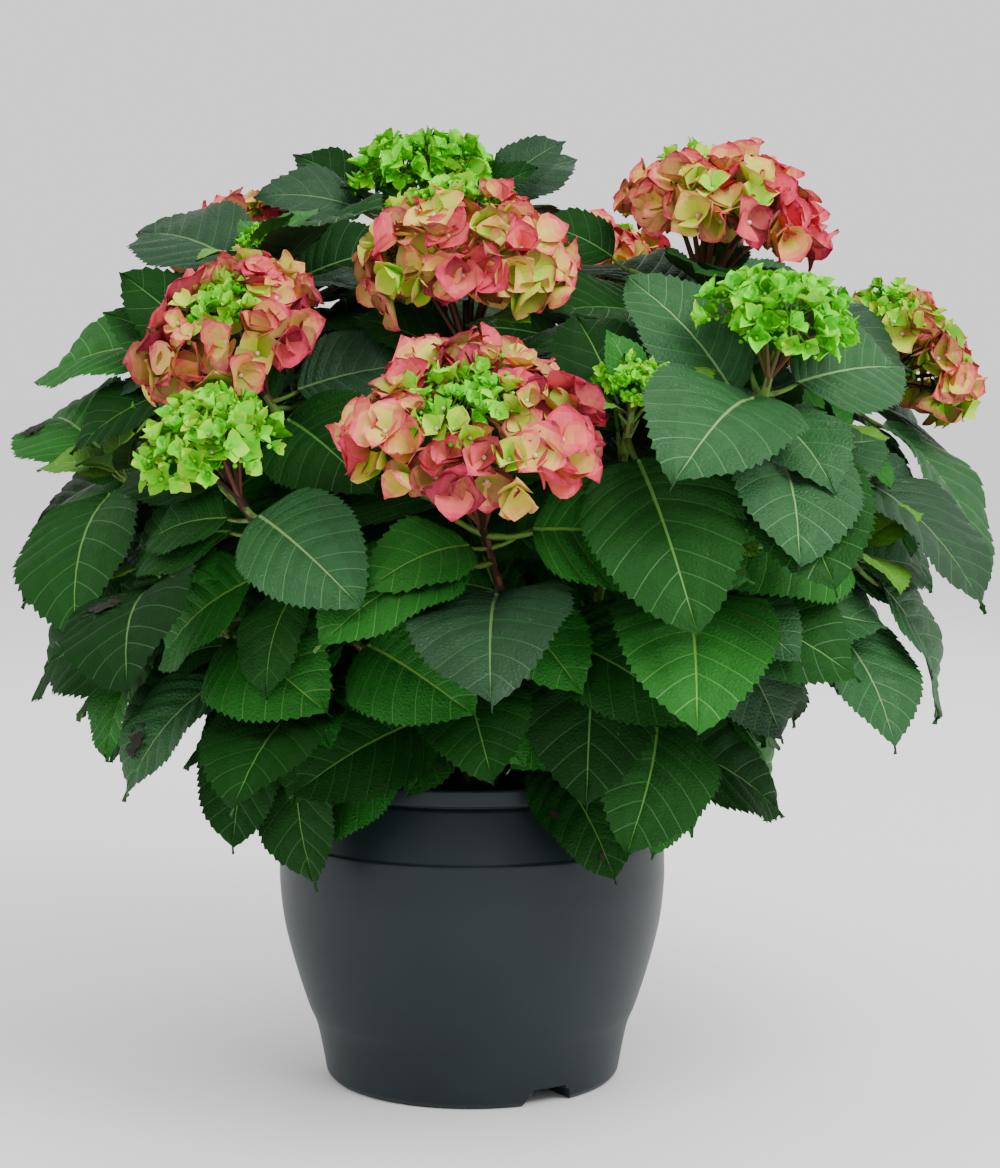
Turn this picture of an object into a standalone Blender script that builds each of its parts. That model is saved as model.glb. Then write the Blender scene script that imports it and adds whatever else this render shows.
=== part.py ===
"""Mophead hydrangea in a turned plastic pot.

Metres, +Z up, front towards -Y.  The origin is the middle of the pot's flat underside.
A woody stock stands on the soil and one cane for each tall shoot rises from it.  Every shoot
is one mass: a stem with opposite pairs of leaves, each pair turned a quarter from the last,
and a bloom at its tip.  Low leafy shoots grow from the stock itself and hang over the rim.
"""
import math
from collections import namedtuple

import bmesh
import bpy
from mathutils import Vector
from mathutils.bvhtree import BVHTree

# ---------------------------------------------------------------- driving sizes, metres
GAP = 0.0003                    # between solids that touch
WELD = 0.00001

POT_HEIGHT = 0.230
SHOULDER_RADIUS = 0.1402        # widest ring of the pot
FLOOR = 0.018                   # deep enough to hold the drainage channels
SOIL_TOP = 0.205
SOIL_EDGE = 0.1235              # radius of the soil's flat top, clear of the pot's wall
TURN_STEPS = 32

CHANNEL_WIDTH = 0.032
CHANNEL_FOOT_FLARE = 1.5        # width below the foot against CHANNEL_WIDTH
CHANNEL_HEIGHT = 0.012
CHANNEL_INNER_END = 0.055
CHANNEL_OUTER_END = 0.140
CHANNEL_COUNT = 2
CHANNEL_FIRST_AZIMUTH = -59.0

STOCK_RADIUS = 0.042
STOCK_FLARE_RADIUS = 0.050
STOCK_CENTRE = Vector((0.0, 0.0, SOIL_TOP + 0.010))

# Where each limb leaves the stock: degrees down from the top of its dome.
CROWN_FOOT_POLAR = 14.0
FOOT_POLAR_GAIN = 205.0         # for each metre of the limb's reach
TALL_FOOT_POLAR = 60.0          # the lowest a cane starts
FOOT_STAGGER = 9.0              # neighbours up and down the dome
FOOT_PULL = 0.35                # from an even spread towards the tip's own azimuth
LOW_FOOT_POLAR = 84.0

CANE_FOOT_RADIUS = 0.0045
CANE_TIP_RADIUS = 0.0040
STEM_TIP_RADIUS = 0.0026
SHORTEST_CANE = 0.050
LIMB_CLEARANCE = 0.0020
LIMB_RINGS = 5
STRAIGHT_END = 0.006            # both limbs run straight this far at a joint
PATH_STEPS = 40
TIP_PULL = 0.8                  # how long a limb keeps to its tip's direction

LEAF_LENGTH = 0.133             # blade, without its stalk
LEAF_HALF_WIDTH = 0.36          # of the length
LEAF_THICKNESS = 1 / 88         # of the length
LEAF_FOLD = math.radians(11)
LEAF_NOSE = 0.96                # the outline's egg ends here and the drawn-out tip begins
WIDTH_RISE = 0.62               # powers of the outline from the base and from the tip
WIDTH_FALL = 0.86
BLADE_ROWS = (0.26, 0.64)
STALK_LENGTH = 0.030
STALK_HALF_WIDTH = 0.0022
CLEARANCE = 0.0026              # half the thickness of a leaf's own space
LEAF_MIDDLE = 0.4
FAR_APART = 0.20                # leaves with middles this far apart aren't tested

# Pairs of leaves along a stem.
FIRST_PAIR_DROP = 0.020         # below the foot of the bloom
LEAFY_PAIR_DROP = 0.004         # below the tip of a shoot with no bloom
PAIR_SPACING = 0.042
PAIR_SPACING_GROWTH = 0.010
STEM_BELOW_LAST_PAIR = 0.022
PAIR_OFFSET = 0.0012            # along the stem between the two leaves of a pair
PAIR_TURN = 90.0                # each pair to the last, degrees

# How a leaf rests, in degrees.
TURN_JITTER = 9.0
LEAF_TILT = -12.0               # of the first pair, from square to the stem
TILT_JITTER = 7.0
TILT_PER_PAIR = -4.0
TOP_TILT = 28.0                 # more, for leaves at the top of the crown
TOP_START = 0.47                # where the top of the crown begins, and its depth
TOP_DEPTH = 0.12
DROOP = 44.0
TOP_DROOP = -10.0
DROOP_SPREAD = 16.0
TWIST_SPREAD = 0.40
LENGTH_JITTER = 0.08
LIGHT_PULL = Vector((0.0, -0.45, 0.32))     # leaves turn from the stem's tip to the light
LIGHT_END_Y = 0.15              # behind this the light from the front doesn't reach
LIGHT_FADE = 0.10

# The space that leaves keep to.
CROWN_MIDDLE_X = 0.022
CROWN_RADIUS = 0.366            # no leaf's tip leaves this
SKIRT_LOW = 0.160               # lowest tip close to the pot
SKIRT_STEP_REACH = 0.205        # past the pot's side the lowest tips step up by SKIRT_STEP
SKIRT_STEP = 0.052
SKIRT_STEP_WIDTH = 0.03
SKIRT_REACH = 0.28              # and beyond this reach they rise steadily
SKIRT_RISE = 0.75
FRONT_LOW = 0.228               # lowest tip where the rim shows at the front
FRONT_HALF_GAP = 0.075

# A bloom's shape against its radius.
BLOOM_FOOT = 0.30               # depth of its foot below its middle
BLOOM_RISE = 0.60               # height of its dome
BLOOM_UNDERSIDE = 0.16
BLOOM_CONE = 0.26               # the stalks' cone under the middle, and how soon it narrows
BLOOM_CONE_SLOPE = 2.2
BLOOM_LUMPS = 0.075
FINE_BLOOM = 0.075              # blooms over this radius have a finer dome
BLOOM_SPACE = 1.04              # of the dome that leaves keep clear of
BLOOM_SPACE_RISE = 0.66
BLOOM_SPACE_DROP = 0.45

# The bloom's middle (or a leafy shoot's tip), the bloom's radius, its lean outwards in degrees,
# the turn of the first pair of leaves about the stem (0 has one leaf on the outer side), the
# number of pairs, and the leaves' size against LEAF_LENGTH.
Shoot = namedtuple("Shoot", "name place bloom lean phase pairs size")

TALL_SHOOTS = (
    Shoot("front", (0.006, -0.255, 0.476), 0.087, 28, 95, 4, 1.12),
    Shoot("upper", (-0.003, -0.100, 0.586), 0.077, 10, 50, 4, 0.95),
    Shoot("left", (-0.160, -0.130, 0.537), 0.070, 36, 60, 4, 0.95),
    Shoot("back_left", (-0.160, 0.120, 0.602), 0.064, 18, 20, 4, 0.95),
    Shoot("top", (-0.036, 0.100, 0.656), 0.050, 5, 75, 4, 0.95),
    Shoot("right_top", (0.177, -0.020, 0.617), 0.078, 14, -5, 4, 1.00),
    Shoot("right_green", (0.201, -0.200, 0.545), 0.050, 14, -55, 4, 1.12),
    Shoot("right_edge", (0.320, 0.030, 0.522), 0.062, 55, 60, 4, 1.00),
    Shoot("front_bud", (0.107, -0.220, 0.508), 0.026, 20, -55, 4, 1.00),
    Shoot("left_green", (-0.164, -0.215, 0.470), 0.046, 30, 70, 4, 0.90),
    Shoot("left_bud", (-0.150, -0.005, 0.603), 0.018, 12, 130, 4, 0.95),
    Shoot("low_bud", (0.150, -0.175, 0.400), 0.011, 35, -30, 3, 1.15),
    Shoot("far_left", (-0.185, -0.005, 0.530), 0.0, 25, 10, 4, 0.95),
    Shoot("left_side", (-0.245, -0.040, 0.440), 0.0, 40, 60, 4, 1.00),
    Shoot("left_low", (-0.205, -0.125, 0.375), 0.0, 42, 25, 4, 1.00),
    Shoot("left_skirt", (-0.232, -0.030, 0.345), 0.0, 58, 15, 3, 1.00),
    Shoot("far_right", (0.245, -0.060, 0.455), 0.0, 40, 20, 4, 1.05),
    Shoot("right_low", (0.262, -0.110, 0.392), 0.0, 45, 40, 4, 1.00),
    Shoot("back", (0.095, 0.170, 0.575), 0.072, 18, 40, 4, 1.00),
    Shoot("back_mid", (-0.010, 0.260, 0.480), 0.080, 34, 80, 4, 1.05),
    Shoot("back_right", (0.225, 0.190, 0.480), 0.066, 36, 10, 4, 1.00),
    Shoot("back_far_left", (-0.225, 0.165, 0.470), 0.050, 36, 55, 4, 1.00),
)
# Leafy shoots round the foot that hang over the pot's rim: the azimuth, reach and height of the
# tip, then the turn of the first pair, the number of pairs and the size as above.
LOW_SHOOTS = (
    (-38, 0.165, 0.293, -26, 3, 0.92),
    (-76, 0.130, 0.285, 40, 2, 0.95),
    (-92, 0.160, 0.325, 26, 3, 0.88),
    (-126, 0.165, 0.298, 10, 2, 0.93),
    (-152, 0.165, 0.315, -20, 3, 1.00),
    (178, 0.165, 0.340, 10, 3, 1.00),
    (148, 0.170, 0.320, -10, 3, 1.00),
    (115, 0.165, 0.350, 15, 3, 1.00),
    (82, 0.170, 0.345, -5, 3, 1.00),
    (50, 0.165, 0.350, 10, 3, 1.00),
    (24, 0.170, 0.350, -10, 3, 1.00),
    (0, 0.165, 0.288, -4, 3, 1.00),
)
LOW_SHOOT_LEAN = 68

# Leaves that rest away from the rule: shoot, pair and side, with a further turn about the stem
# and a lift towards its tip, in degrees.
POSED = {
    ("front", 0, 1): (-40, -20),
    ("front", 1, 1): (-20, 30),
    ("front_bud", 0, 0): (10, 20),
    ("low_bud", 0, 0): (-15, 20),
    ("right_green", 0, 0): (0, 10),
    ("right_green", 1, 0): (-50, 40),
    ("right_top", 0, 1): (-60, -20),
    ("left_bud", 0, 1): (0, -10),
    ("top", 0, 0): (-40, 0),
    ("top", 0, 1): (45, 0),
    ("upper", 0, 0): (75, 50),
    ("left_green", 1, 1): (-70, -10),
    ("left_green", 3, 0): (0, 40),
    ("low_3", 0, 0): (10, 20),
    ("low_1", 0, 0): (-20, 10),
    ("low_0", 0, 0): (-30, 15),
    ("right_low", 1, 1): (0, 30),
    ("far_left", 0, 0): (-30, 0),
    ("left_side", 0, 1): (70, 10),
    ("left_low", 0, 0): (30, 20),
    ("left_low", 1, 0): (-50, 10),
    ("low_2", 0, 0): (-10, 40),
    ("right_edge", 0, 1): (70, 0),
    ("right_edge", 0, 0): (-40, 10),
    ("far_right", 0, 0): (-60, 10),
    ("right_low", 0, 0): (-40, -20),
}

# Turns of azimuth and elevation, and a factor on the size, tried in order for a leaf that
# would touch something.
TRIES = tuple((turn, lift, factor)
              for factor in (1.0, 0.86, 0.72)
              for turn, lift in ((0, 0), (14, 0), (-14, 0), (0, 13), (0, -13), (14, 13), (-14, 13),
                                 (14, -13), (-14, -13), (28, 0), (-28, 0), (0, 26), (0, -26),
                                 (28, 20), (-28, 20), (28, -20), (-28, -20)))


# ---------------------------------------------------------------- small helpers
def scatter(*keys):
    """A repeatable number from 0 to 1 for a set of whole numbers."""
    weights = (12.9898, 78.233, 37.719, 9.151)
    value = math.sin(sum(key * weight for key, weight in zip(keys, weights)))
    return (value * 43758.5453) % 1.0


def jitter(amount, *keys):
    return amount * (2.0 * scatter(*keys) - 1.0)


def clamp(value):
    return max(0.0, min(1.0, value))


def heading(azimuth, elevation):
    """Unit vector from angles in degrees."""
    turn = math.radians(azimuth)
    rise = math.radians(elevation)
    return Vector((math.cos(turn) * math.cos(rise), math.sin(turn) * math.cos(rise), math.sin(rise)))


def azimuth_of(place):
    return math.degrees(math.atan2(place[1], place[0]))


def lathe_shell(profile, sides=20):
    points = [Vector((r * math.cos(math.tau * i / sides), r * math.sin(math.tau * i / sides), z))
              for r, z in profile for i in range(sides)]
    faces = [(row * sides + i, row * sides + (i + 1) % sides,
              (row + 1) * sides + (i + 1) % sides, (row + 1) * sides + i)
             for row in range(len(profile) - 1) for i in range(sides)]
    return points, faces


def tube_shell(points, radii, sides=5):
    """Rings round a path, closed enough to test against."""
    verts = []
    for index, (point, radius) in enumerate(zip(points, radii)):
        ahead = points[min(index + 1, len(points) - 1)] - points[max(index - 1, 0)]
        across = ahead.cross(Vector((0.31, 0.95, 0.05))).normalized()
        other = ahead.normalized().cross(across)
        for side in range(sides):
            angle = math.tau * side / sides
            verts.append(point + radius * (math.cos(angle) * across + math.sin(angle) * other))
    faces = [(ring * sides + i, ring * sides + (i + 1) % sides,
              (ring + 1) * sides + (i + 1) % sides, (ring + 1) * sides + i)
             for ring in range(len(points) - 1) for i in range(sides)]
    return verts, faces


# ---------------------------------------------------------------- the plant's layout
def pot_outline():
    """Outer wall from the lip down to the foot, as (radius, height)."""
    return [(0.1268, POT_HEIGHT), (0.1278, 0.2285), (0.1278, 0.2185), (0.1264, 0.2172),
            (0.1290, 0.2150), (0.1382, 0.1800), (0.1396, 0.1785), (SHOULDER_RADIUS, 0.1600),
            (SHOULDER_RADIUS, 0.1420), (0.1370, 0.1140), (0.1297, 0.0840), (0.1203, 0.0540),
            (0.1136, 0.0370), (0.1070, 0.0035), (0.1040, 0.0)]


def bloom_axis(shoot):
    return heading(azimuth_of(shoot.place), 90.0 - shoot.lean)


def shoot_path(shoot, normal):
    """Points from the stock's surface to the foot of the bloom."""
    place = Vector(shoot.place)
    axis = bloom_axis(shoot)
    tip = place - axis * (BLOOM_FOOT * shoot.bloom)
    start = STOCK_CENTRE + normal * (STOCK_RADIUS + GAP)
    leave = start + normal * STRAIGHT_END
    span = (tip - leave).length
    points = [start]
    for step in range(PATH_STEPS + 1):
        t = step / PATH_STEPS
        points.append(leave * (2 * t**3 - 3 * t**2 + 1) + normal * span * (t**3 - 2 * t**2 + t)
                      + tip * (3 * t**2 - 2 * t**3) + axis * span * TIP_PULL * (t**3 - t**2))
    return points


def point_below(path, distance):
    """Point and direction at a distance back from the path's tip."""
    left = distance
    for ahead, behind in zip(path[:0:-1], path[-2::-1]):
        step = (ahead - behind).length
        if step >= left:
            return ahead.lerp(behind, left / step), (ahead - behind).normalized()
        left -= step
    return path[0], (path[1] - path[0]).normalized()


def limb_points(path, foot, tip, count):
    """Points of the path from one distance below its tip to another, straight at both ends."""
    first = foot - STRAIGHT_END
    last = tip + STRAIGHT_END
    inner = [first + (last - first) * i / (count - 1) for i in range(count)]
    return [point_below(path, distance)[0] for distance in [foot] + inner + [tip]]


def foot_normals(shoots):
    """Directions from the stock's middle to the foot of each limb, so that neighbours keep apart."""
    tall = len(TALL_SHOOTS)
    normals = [heading(azimuth_of(shoot.place), 90.0 - LOW_FOOT_POLAR) for shoot in shoots]
    order = sorted(range(tall), key=lambda index: azimuth_of(shoots[index].place))
    for rank, index in enumerate(order):
        place = shoots[index].place
        even = -180.0 + 360.0 * (rank + 0.5) / tall
        azimuth = even + FOOT_PULL * (azimuth_of(place) - even)
        polar = CROWN_FOOT_POLAR + FOOT_POLAR_GAIN * math.hypot(place[0], place[1])
        stagger = FOOT_STAGGER * (-1) ** rank
        normals[index] = heading(azimuth, 90.0 - min(TALL_FOOT_POLAR, polar) - stagger)
    return normals


def low_shoots():
    shoots = []
    for index, (azimuth, reach, height, phase, pairs, size) in enumerate(LOW_SHOOTS):
        turn = math.radians(azimuth)
        place = (reach * math.cos(turn), reach * math.sin(turn), height)
        shoots.append(Shoot(f"low_{index}", place, 0.0, LOW_SHOOT_LEAN, phase, pairs, size))
    return shoots


def pair_depth(shoot, pair):
    """Distance of a pair of leaves below the shoot's tip."""
    first = BLOOM_FOOT * shoot.bloom + FIRST_PAIR_DROP if shoot.bloom else LEAFY_PAIR_DROP
    return first + PAIR_SPACING * pair + PAIR_SPACING_GROWTH * pair * pair


def stem_length(shoot):
    return pair_depth(shoot, shoot.pairs - 1) + STEM_BELOW_LAST_PAIR


class Leaf:
    """One leaf: its root on the stem's axis, mean direction, face direction, droop and length."""

    def __init__(self, root, ahead, face, droop, length):
        self.root = root
        self.ahead = ahead
        self.side = face.cross(ahead).normalized()
        self.face = ahead.cross(self.side)
        self.droop = math.radians(droop)
        self.length = length
        start = math.cos(self.droop / 2) * ahead + math.sin(self.droop / 2) * self.face
        self.base = root + start * STALK_LENGTH * length / LEAF_LENGTH

    def rib(self, t):
        """Point of the midrib at t and the blade's upward normal there."""
        rise = self.droop / 2
        slope = rise - self.droop * t
        along = (math.sin(rise) - math.sin(slope)) / self.droop
        up = (math.cos(slope) - math.cos(rise)) / self.droop
        point = self.base + self.length * (along * self.ahead + up * self.face)
        return point, math.cos(slope) * self.face - math.sin(slope) * self.ahead

    def half_width(self, t):
        """Egg-shaped blade, widest at two fifths, with a drawn-out tip."""
        body = clamp(t / LEAF_NOSE)
        widest = WIDTH_RISE / (WIDTH_RISE + WIDTH_FALL)
        peak = widest**WIDTH_RISE * (1.0 - widest)**WIDTH_FALL
        return LEAF_HALF_WIDTH * self.length * body**WIDTH_RISE * (1.0 - body)**WIDTH_FALL / peak

    def row(self, t):
        """Left edge, midrib and right edge of the blade at t."""
        point, normal = self.rib(t)
        half = self.half_width(t)
        across = half * math.cos(LEAF_FOLD) * self.side
        lift = half * math.sin(LEAF_FOLD) * normal
        return [point - across + lift, point, point + across + lift]

    def surface(self):
        """Vertices and faces of the open sheet, from the stalk's root to the blade's tip."""
        half = STALK_HALF_WIDTH * self.side
        verts = [self.root - half, self.root + half, self.base - half, self.base + half]
        faces = [(0, 1, 3, 2), (2, 5, 4), (2, 3, 5), (3, 6, 5)]
        for t in BLADE_ROWS:
            verts += self.row(t)
        faces += [(4, 5, 8, 7), (5, 6, 9, 8), (7, 8, 10), (8, 9, 10)]
        verts.append(self.rib(1.0)[0])
        return verts, faces

    def space(self, whole=True):
        """Tree of the leaf's own space, for the tests against other leaves."""
        verts, faces = self.surface()
        if not whole:
            faces = faces[1:]
        count = len(verts)
        lift = self.face * CLEARANCE
        shell = [v + lift for v in verts] + [v - lift for v in verts]
        rim = [0, 2, 4, 7, 10, 9, 6, 3, 1] if whole else [2, 4, 7, 10, 9, 6, 3]
        sides = [(a, b, b + count, a + count) for a, b in zip(rim, rim[1:] + rim[:1])]
        under = [tuple(i + count for i in face) for face in faces]
        return BVHTree.FromPolygons(shell, faces + under + sides)


def place_leaf(shoot, index, pair, side, root, stem, turn, lift, factor):
    """One leaf of a shoot, turned about the stem and lifted towards its tip."""
    keys = (index, pair, side)
    posed_turn, posed_lift = POSED.get((shoot.name, pair, side), (0, 0))
    turn += posed_turn
    lift += posed_lift
    front = clamp((LIGHT_END_Y - root.y) / LIGHT_FADE)
    up = (stem + Vector((0.0, LIGHT_PULL.y * front, LIGHT_PULL.z))).normalized()
    out = heading(azimuth_of(shoot.place), 0.0)
    out = (out - up * out.dot(up)).normalized()
    around = shoot.phase + PAIR_TURN * pair + 180.0 * side + jitter(TURN_JITTER, *keys, 1) + turn
    angle = math.radians(around)
    flat = math.cos(angle) * out + math.sin(angle) * up.cross(out)
    height = clamp((root.z - TOP_START) / TOP_DEPTH)
    rest = LEAF_TILT + TOP_TILT * height + TILT_PER_PAIR * pair
    tilt = math.radians(rest + jitter(TILT_JITTER, *keys, 2) + lift)
    ahead = math.cos(tilt) * flat + math.sin(tilt) * up
    droop = DROOP + TOP_DROOP * height + DROOP_SPREAD * scatter(*keys, 3)
    length = LEAF_LENGTH * shoot.size * (1.0 + jitter(LENGTH_JITTER, *keys, 4)) * factor
    twist = up + TWIST_SPREAD * (scatter(*keys, 5) - 0.5) * ahead.cross(up)
    return Leaf(root, ahead, twist, droop, length)


def bloom_shell(shoot):
    """Coarse dome for the tests."""
    axis = bloom_axis(shoot)
    turn = axis.to_track_quat("Z", "Y")
    place = Vector(shoot.place)
    profile = []
    for angle in (88, 60, 30, 0, -40, -88):
        turned_up = math.radians(angle)
        rise = BLOOM_SPACE_RISE if angle > 0 else BLOOM_SPACE_DROP
        profile.append((shoot.bloom * BLOOM_SPACE * math.cos(turned_up),
                        shoot.bloom * rise * math.sin(turned_up)))
    verts, faces = lathe_shell(profile, 10)
    return [place + turn @ v for v in verts], faces


def grow():
    """The shoots with their paths and the leaves that fit, as a list of dictionaries."""
    shoots = list(TALL_SHOOTS) + low_shoots()
    normals = foot_normals(shoots)
    outline = [(r + GAP, z) for r, z in pot_outline()]
    pot_shell = lathe_shell([(0.0, SOIL_TOP), (SOIL_EDGE, SOIL_TOP)] + outline)
    solids = [(None, BVHTree.FromPolygons(*pot_shell))]
    plants = []
    for index, shoot in enumerate(shoots):
        path = shoot_path(shoot, normals[index])
        total = sum((a - b).length for a, b in zip(path, path[1:]))
        tall = index < len(TALL_SHOOTS)
        split = min(stem_length(shoot), total - SHORTEST_CANE) if tall else total
        plants.append({"shoot": shoot, "path": path, "total": total, "split": split, "tall": tall,
                       "leaves": []})
        radii = [CANE_TIP_RADIUS + LIMB_CLEARANCE] * len(path)
        solids.append((index, BVHTree.FromPolygons(*tube_shell(path, radii))))
        if shoot.bloom:
            solids.append((index, BVHTree.FromPolygons(*bloom_shell(shoot))))
    placed = []
    most_pairs = max(shoot.pairs for shoot in shoots)
    for pair in range(most_pairs):
        for index, plant in enumerate(plants):
            shoot = plant["shoot"]
            if pair >= shoot.pairs:
                continue
            node, stem = point_below(plant["path"], pair_depth(shoot, pair))
            for side in (0, 1):
                root = node + stem * PAIR_OFFSET * (side - 0.5)
                for turn, lift, factor in TRIES:
                    leaf = place_leaf(shoot, index, pair, side, root, stem, turn, lift, factor)
                    if not touches(leaf, index, solids, placed):
                        placed.append((index, leaf, leaf.space(), leaf.space(False)))
                        plant["leaves"].append(leaf)
                        break
    return plants


def out_of_space(leaf):
    """True where the leaf's tip is outside the crown or hangs below its skirt."""
    tip = leaf.rib(1.0)[0]
    reach = math.hypot(tip.x - CROWN_MIDDLE_X, tip.y)
    lowest = SKIRT_LOW + SKIRT_STEP * clamp((reach - SKIRT_STEP_REACH) / SKIRT_STEP_WIDTH)
    lowest += SKIRT_RISE * max(0.0, reach - SKIRT_REACH)
    if abs(tip.x) < FRONT_HALF_GAP and tip.y < 0.0:
        lowest = max(lowest, FRONT_LOW)
    return reach > CROWN_RADIUS or tip.z < lowest


def touches(leaf, index, solids, placed):
    """True where a leaf would meet a limb, a bloom, the pot or another leaf."""
    if out_of_space(leaf):
        return True
    whole = leaf.space()
    blade = leaf.space(False)
    for owner, tree in solids:
        if (blade if owner == index else whole).overlap(tree):
            return True
    middle = leaf.rib(LEAF_MIDDLE)[0]
    for owner, other, other_whole, other_blade in placed:
        if (other.rib(LEAF_MIDDLE)[0] - middle).length > FAR_APART:
            continue
        if owner == index:
            if blade.overlap(other_blade):
                return True
        elif whole.overlap(other_whole):
            return True
    return False


# ---------------------------------------------------------------- Blender objects
def clear_scene():
    for obj in list(bpy.data.objects):
        bpy.data.objects.remove(obj, do_unlink=True)


def new_collection(name):
    collection = bpy.data.collections.new(name)
    bpy.context.scene.collection.children.link(collection)
    return collection


def material(name, colour, roughness, metallic=0.0):
    made = bpy.data.materials.new(name)
    made.use_nodes = True
    shader = made.node_tree.nodes["Principled BSDF"]
    shader.inputs["Base Color"].default_value = (*colour, 1.0)
    shader.inputs["Roughness"].default_value = roughness
    shader.inputs["Metallic"].default_value = metallic
    return made


def mesh_object(name, verts, faces, collection, finish=None):
    mesh = bpy.data.meshes.new(name)
    mesh.from_pydata([tuple(v) for v in verts], [], faces)
    mesh.update()
    obj = bpy.data.objects.new(name, mesh)
    collection.objects.link(obj)
    if finish:
        mesh.materials.append(finish)
    return obj


def turned(name, profile, collection, finish):
    """A profile of (radius, height), down its outer side, turned about Z."""
    verts = [(r, 0.0, z) for r, z in profile]
    edges = [(i, i + 1) for i in range(len(profile) - 1)]
    mesh = bpy.data.meshes.new(name)
    mesh.from_pydata(verts, edges, [])
    mesh.materials.append(finish)
    obj = bpy.data.objects.new(name, mesh)
    collection.objects.link(obj)
    screw = obj.modifiers.new("turn", "SCREW")
    screw.axis = "Z"
    screw.steps = TURN_STEPS
    screw.render_steps = TURN_STEPS
    screw.use_merge_vertices = True
    screw.merge_threshold = 0.00005
    return obj


def limb(name, points, foot_radius, tip_radius, resolution, collection, finish):
    """A tapering limb along a path: a curve with a round bevel and filled caps."""
    curve = bpy.data.curves.new(name, "CURVE")
    curve.dimensions = "3D"
    curve.bevel_depth = 1.0
    curve.bevel_resolution = resolution
    curve.use_fill_caps = True
    spline = curve.splines.new("POLY")
    spline.points.add(len(points) - 1)
    for i, point in enumerate(points):
        spline.points[i].co = (*point, 1.0)
        spline.points[i].radius = foot_radius + (tip_radius - foot_radius) * i / (len(points) - 1)
    obj = bpy.data.objects.new(name, curve)
    collection.objects.link(obj)
    curve.materials.append(finish)
    return obj


# ---------------------------------------------------------------- pot, soil and stock
def inner_outline():
    """Inner wall from the lip down to the floor."""
    return [(0.1238, POT_HEIGHT), (0.1238, 0.2140), (0.1352, 0.1700), (0.1352, 0.1420),
            (0.1255, 0.0820), (0.1090, 0.0380), (0.1030, FLOOR)]


def make_pot(collection, cutters, finish):
    profile = [(0.0, FLOOR)] + inner_outline()[::-1] + pot_outline() + [(0.0, 0.0)]
    pot = turned("pot", profile, collection, finish)
    length = CHANNEL_OUTER_END - CHANNEL_INNER_END
    for index in range(CHANNEL_COUNT):
        azimuth = math.radians(CHANNEL_FIRST_AZIMUTH + 360.0 * index / CHANNEL_COUNT)
        bpy.ops.mesh.primitive_cube_add(size=1.0)
        cutter = bpy.context.object
        cutter.name = f"channel_cutter_{index}"
        for home in list(cutter.users_collection):
            home.objects.unlink(cutter)
        cutters.objects.link(cutter)
        for vertex in cutter.data.vertices:
            flare = 1.0 if vertex.co.z > 0 else CHANNEL_FOOT_FLARE
            vertex.co.x = vertex.co.x * length + length / 2 + CHANNEL_INNER_END
            vertex.co.y *= CHANNEL_WIDTH * flare
            vertex.co.z = CHANNEL_HEIGHT if vertex.co.z > 0 else -CHANNEL_HEIGHT
        cutter.rotation_euler.z = azimuth
        cutter.hide_render = True
        cutter.display_type = "WIRE"
        cut = pot.modifiers.new(f"channel_{index}", "BOOLEAN")
        cut.operation = "DIFFERENCE"
        cut.object = cutter
    return pot


def make_soil(collection, finish):
    """Fills the pot, clear of its wall by the gap."""
    wall = [(r - GAP, z) for r, z in inner_outline()[2:]]
    floor = FLOOR + GAP
    profile = [(0.0, SOIL_TOP), (SOIL_EDGE, SOIL_TOP)] + wall[:-1]
    profile += [(wall[-1][0], floor), (0.0, floor)]
    return turned("soil", profile, collection, finish)


def make_stock(collection, finish):
    """Woody stock: a dome on a flared foot, from a flat cut on the soil."""
    foot = SOIL_TOP + GAP
    dome = []
    for angle in (90, 70, 50, 30, 12, -2):
        up = math.radians(angle)
        dome.append((STOCK_RADIUS * math.cos(up), STOCK_CENTRE.z + STOCK_RADIUS * math.sin(up)))
    flare = [(0.0435, foot + 0.0045), (STOCK_FLARE_RADIUS, foot + 0.0015),
             (STOCK_FLARE_RADIUS, foot), (0.0, foot)]
    return turned("woody_stock", dome + flare, collection, finish)


# ---------------------------------------------------------------- one shoot
def make_bloom(shoot, collection, finish):
    """A lumpy dome of florets on a cone of flower stalks."""
    detail = 3 if shoot.bloom > FINE_BLOOM else 2
    blob = bmesh.new()
    bmesh.ops.create_icosphere(blob, subdivisions=detail, radius=1.0)
    turn = bloom_axis(shoot).to_track_quat("Z", "Y")
    place = Vector(shoot.place)
    for number, vertex in enumerate(blob.verts):
        unit = vertex.co.copy()
        lump = 1.0 + jitter(BLOOM_LUMPS, number, round(shoot.bloom * 1000))
        if unit.z >= 0.0:
            height = BLOOM_RISE * unit.z
        else:
            middle = max(0.0, 1.0 - BLOOM_CONE_SLOPE * math.hypot(unit.x, unit.y))
            height = BLOOM_UNDERSIDE * unit.z - BLOOM_CONE * middle
        vertex.co = place + turn @ (Vector((unit.x, unit.y, height)) * shoot.bloom * lump)
    mesh = bpy.data.meshes.new("bloom")
    blob.to_mesh(mesh)
    blob.free()
    mesh.materials.append(finish)
    obj = bpy.data.objects.new("bloom", mesh)
    collection.objects.link(obj)
    return obj


def make_leaf(leaf, collection, finish):
    verts, faces = leaf.surface()
    obj = mesh_object("leaf", verts, faces, collection, finish)
    sheet = obj.modifiers.new("thickness", "SOLIDIFY")
    sheet.thickness = leaf.length * LEAF_THICKNESS
    sheet.offset = 0.0
    return obj


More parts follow.
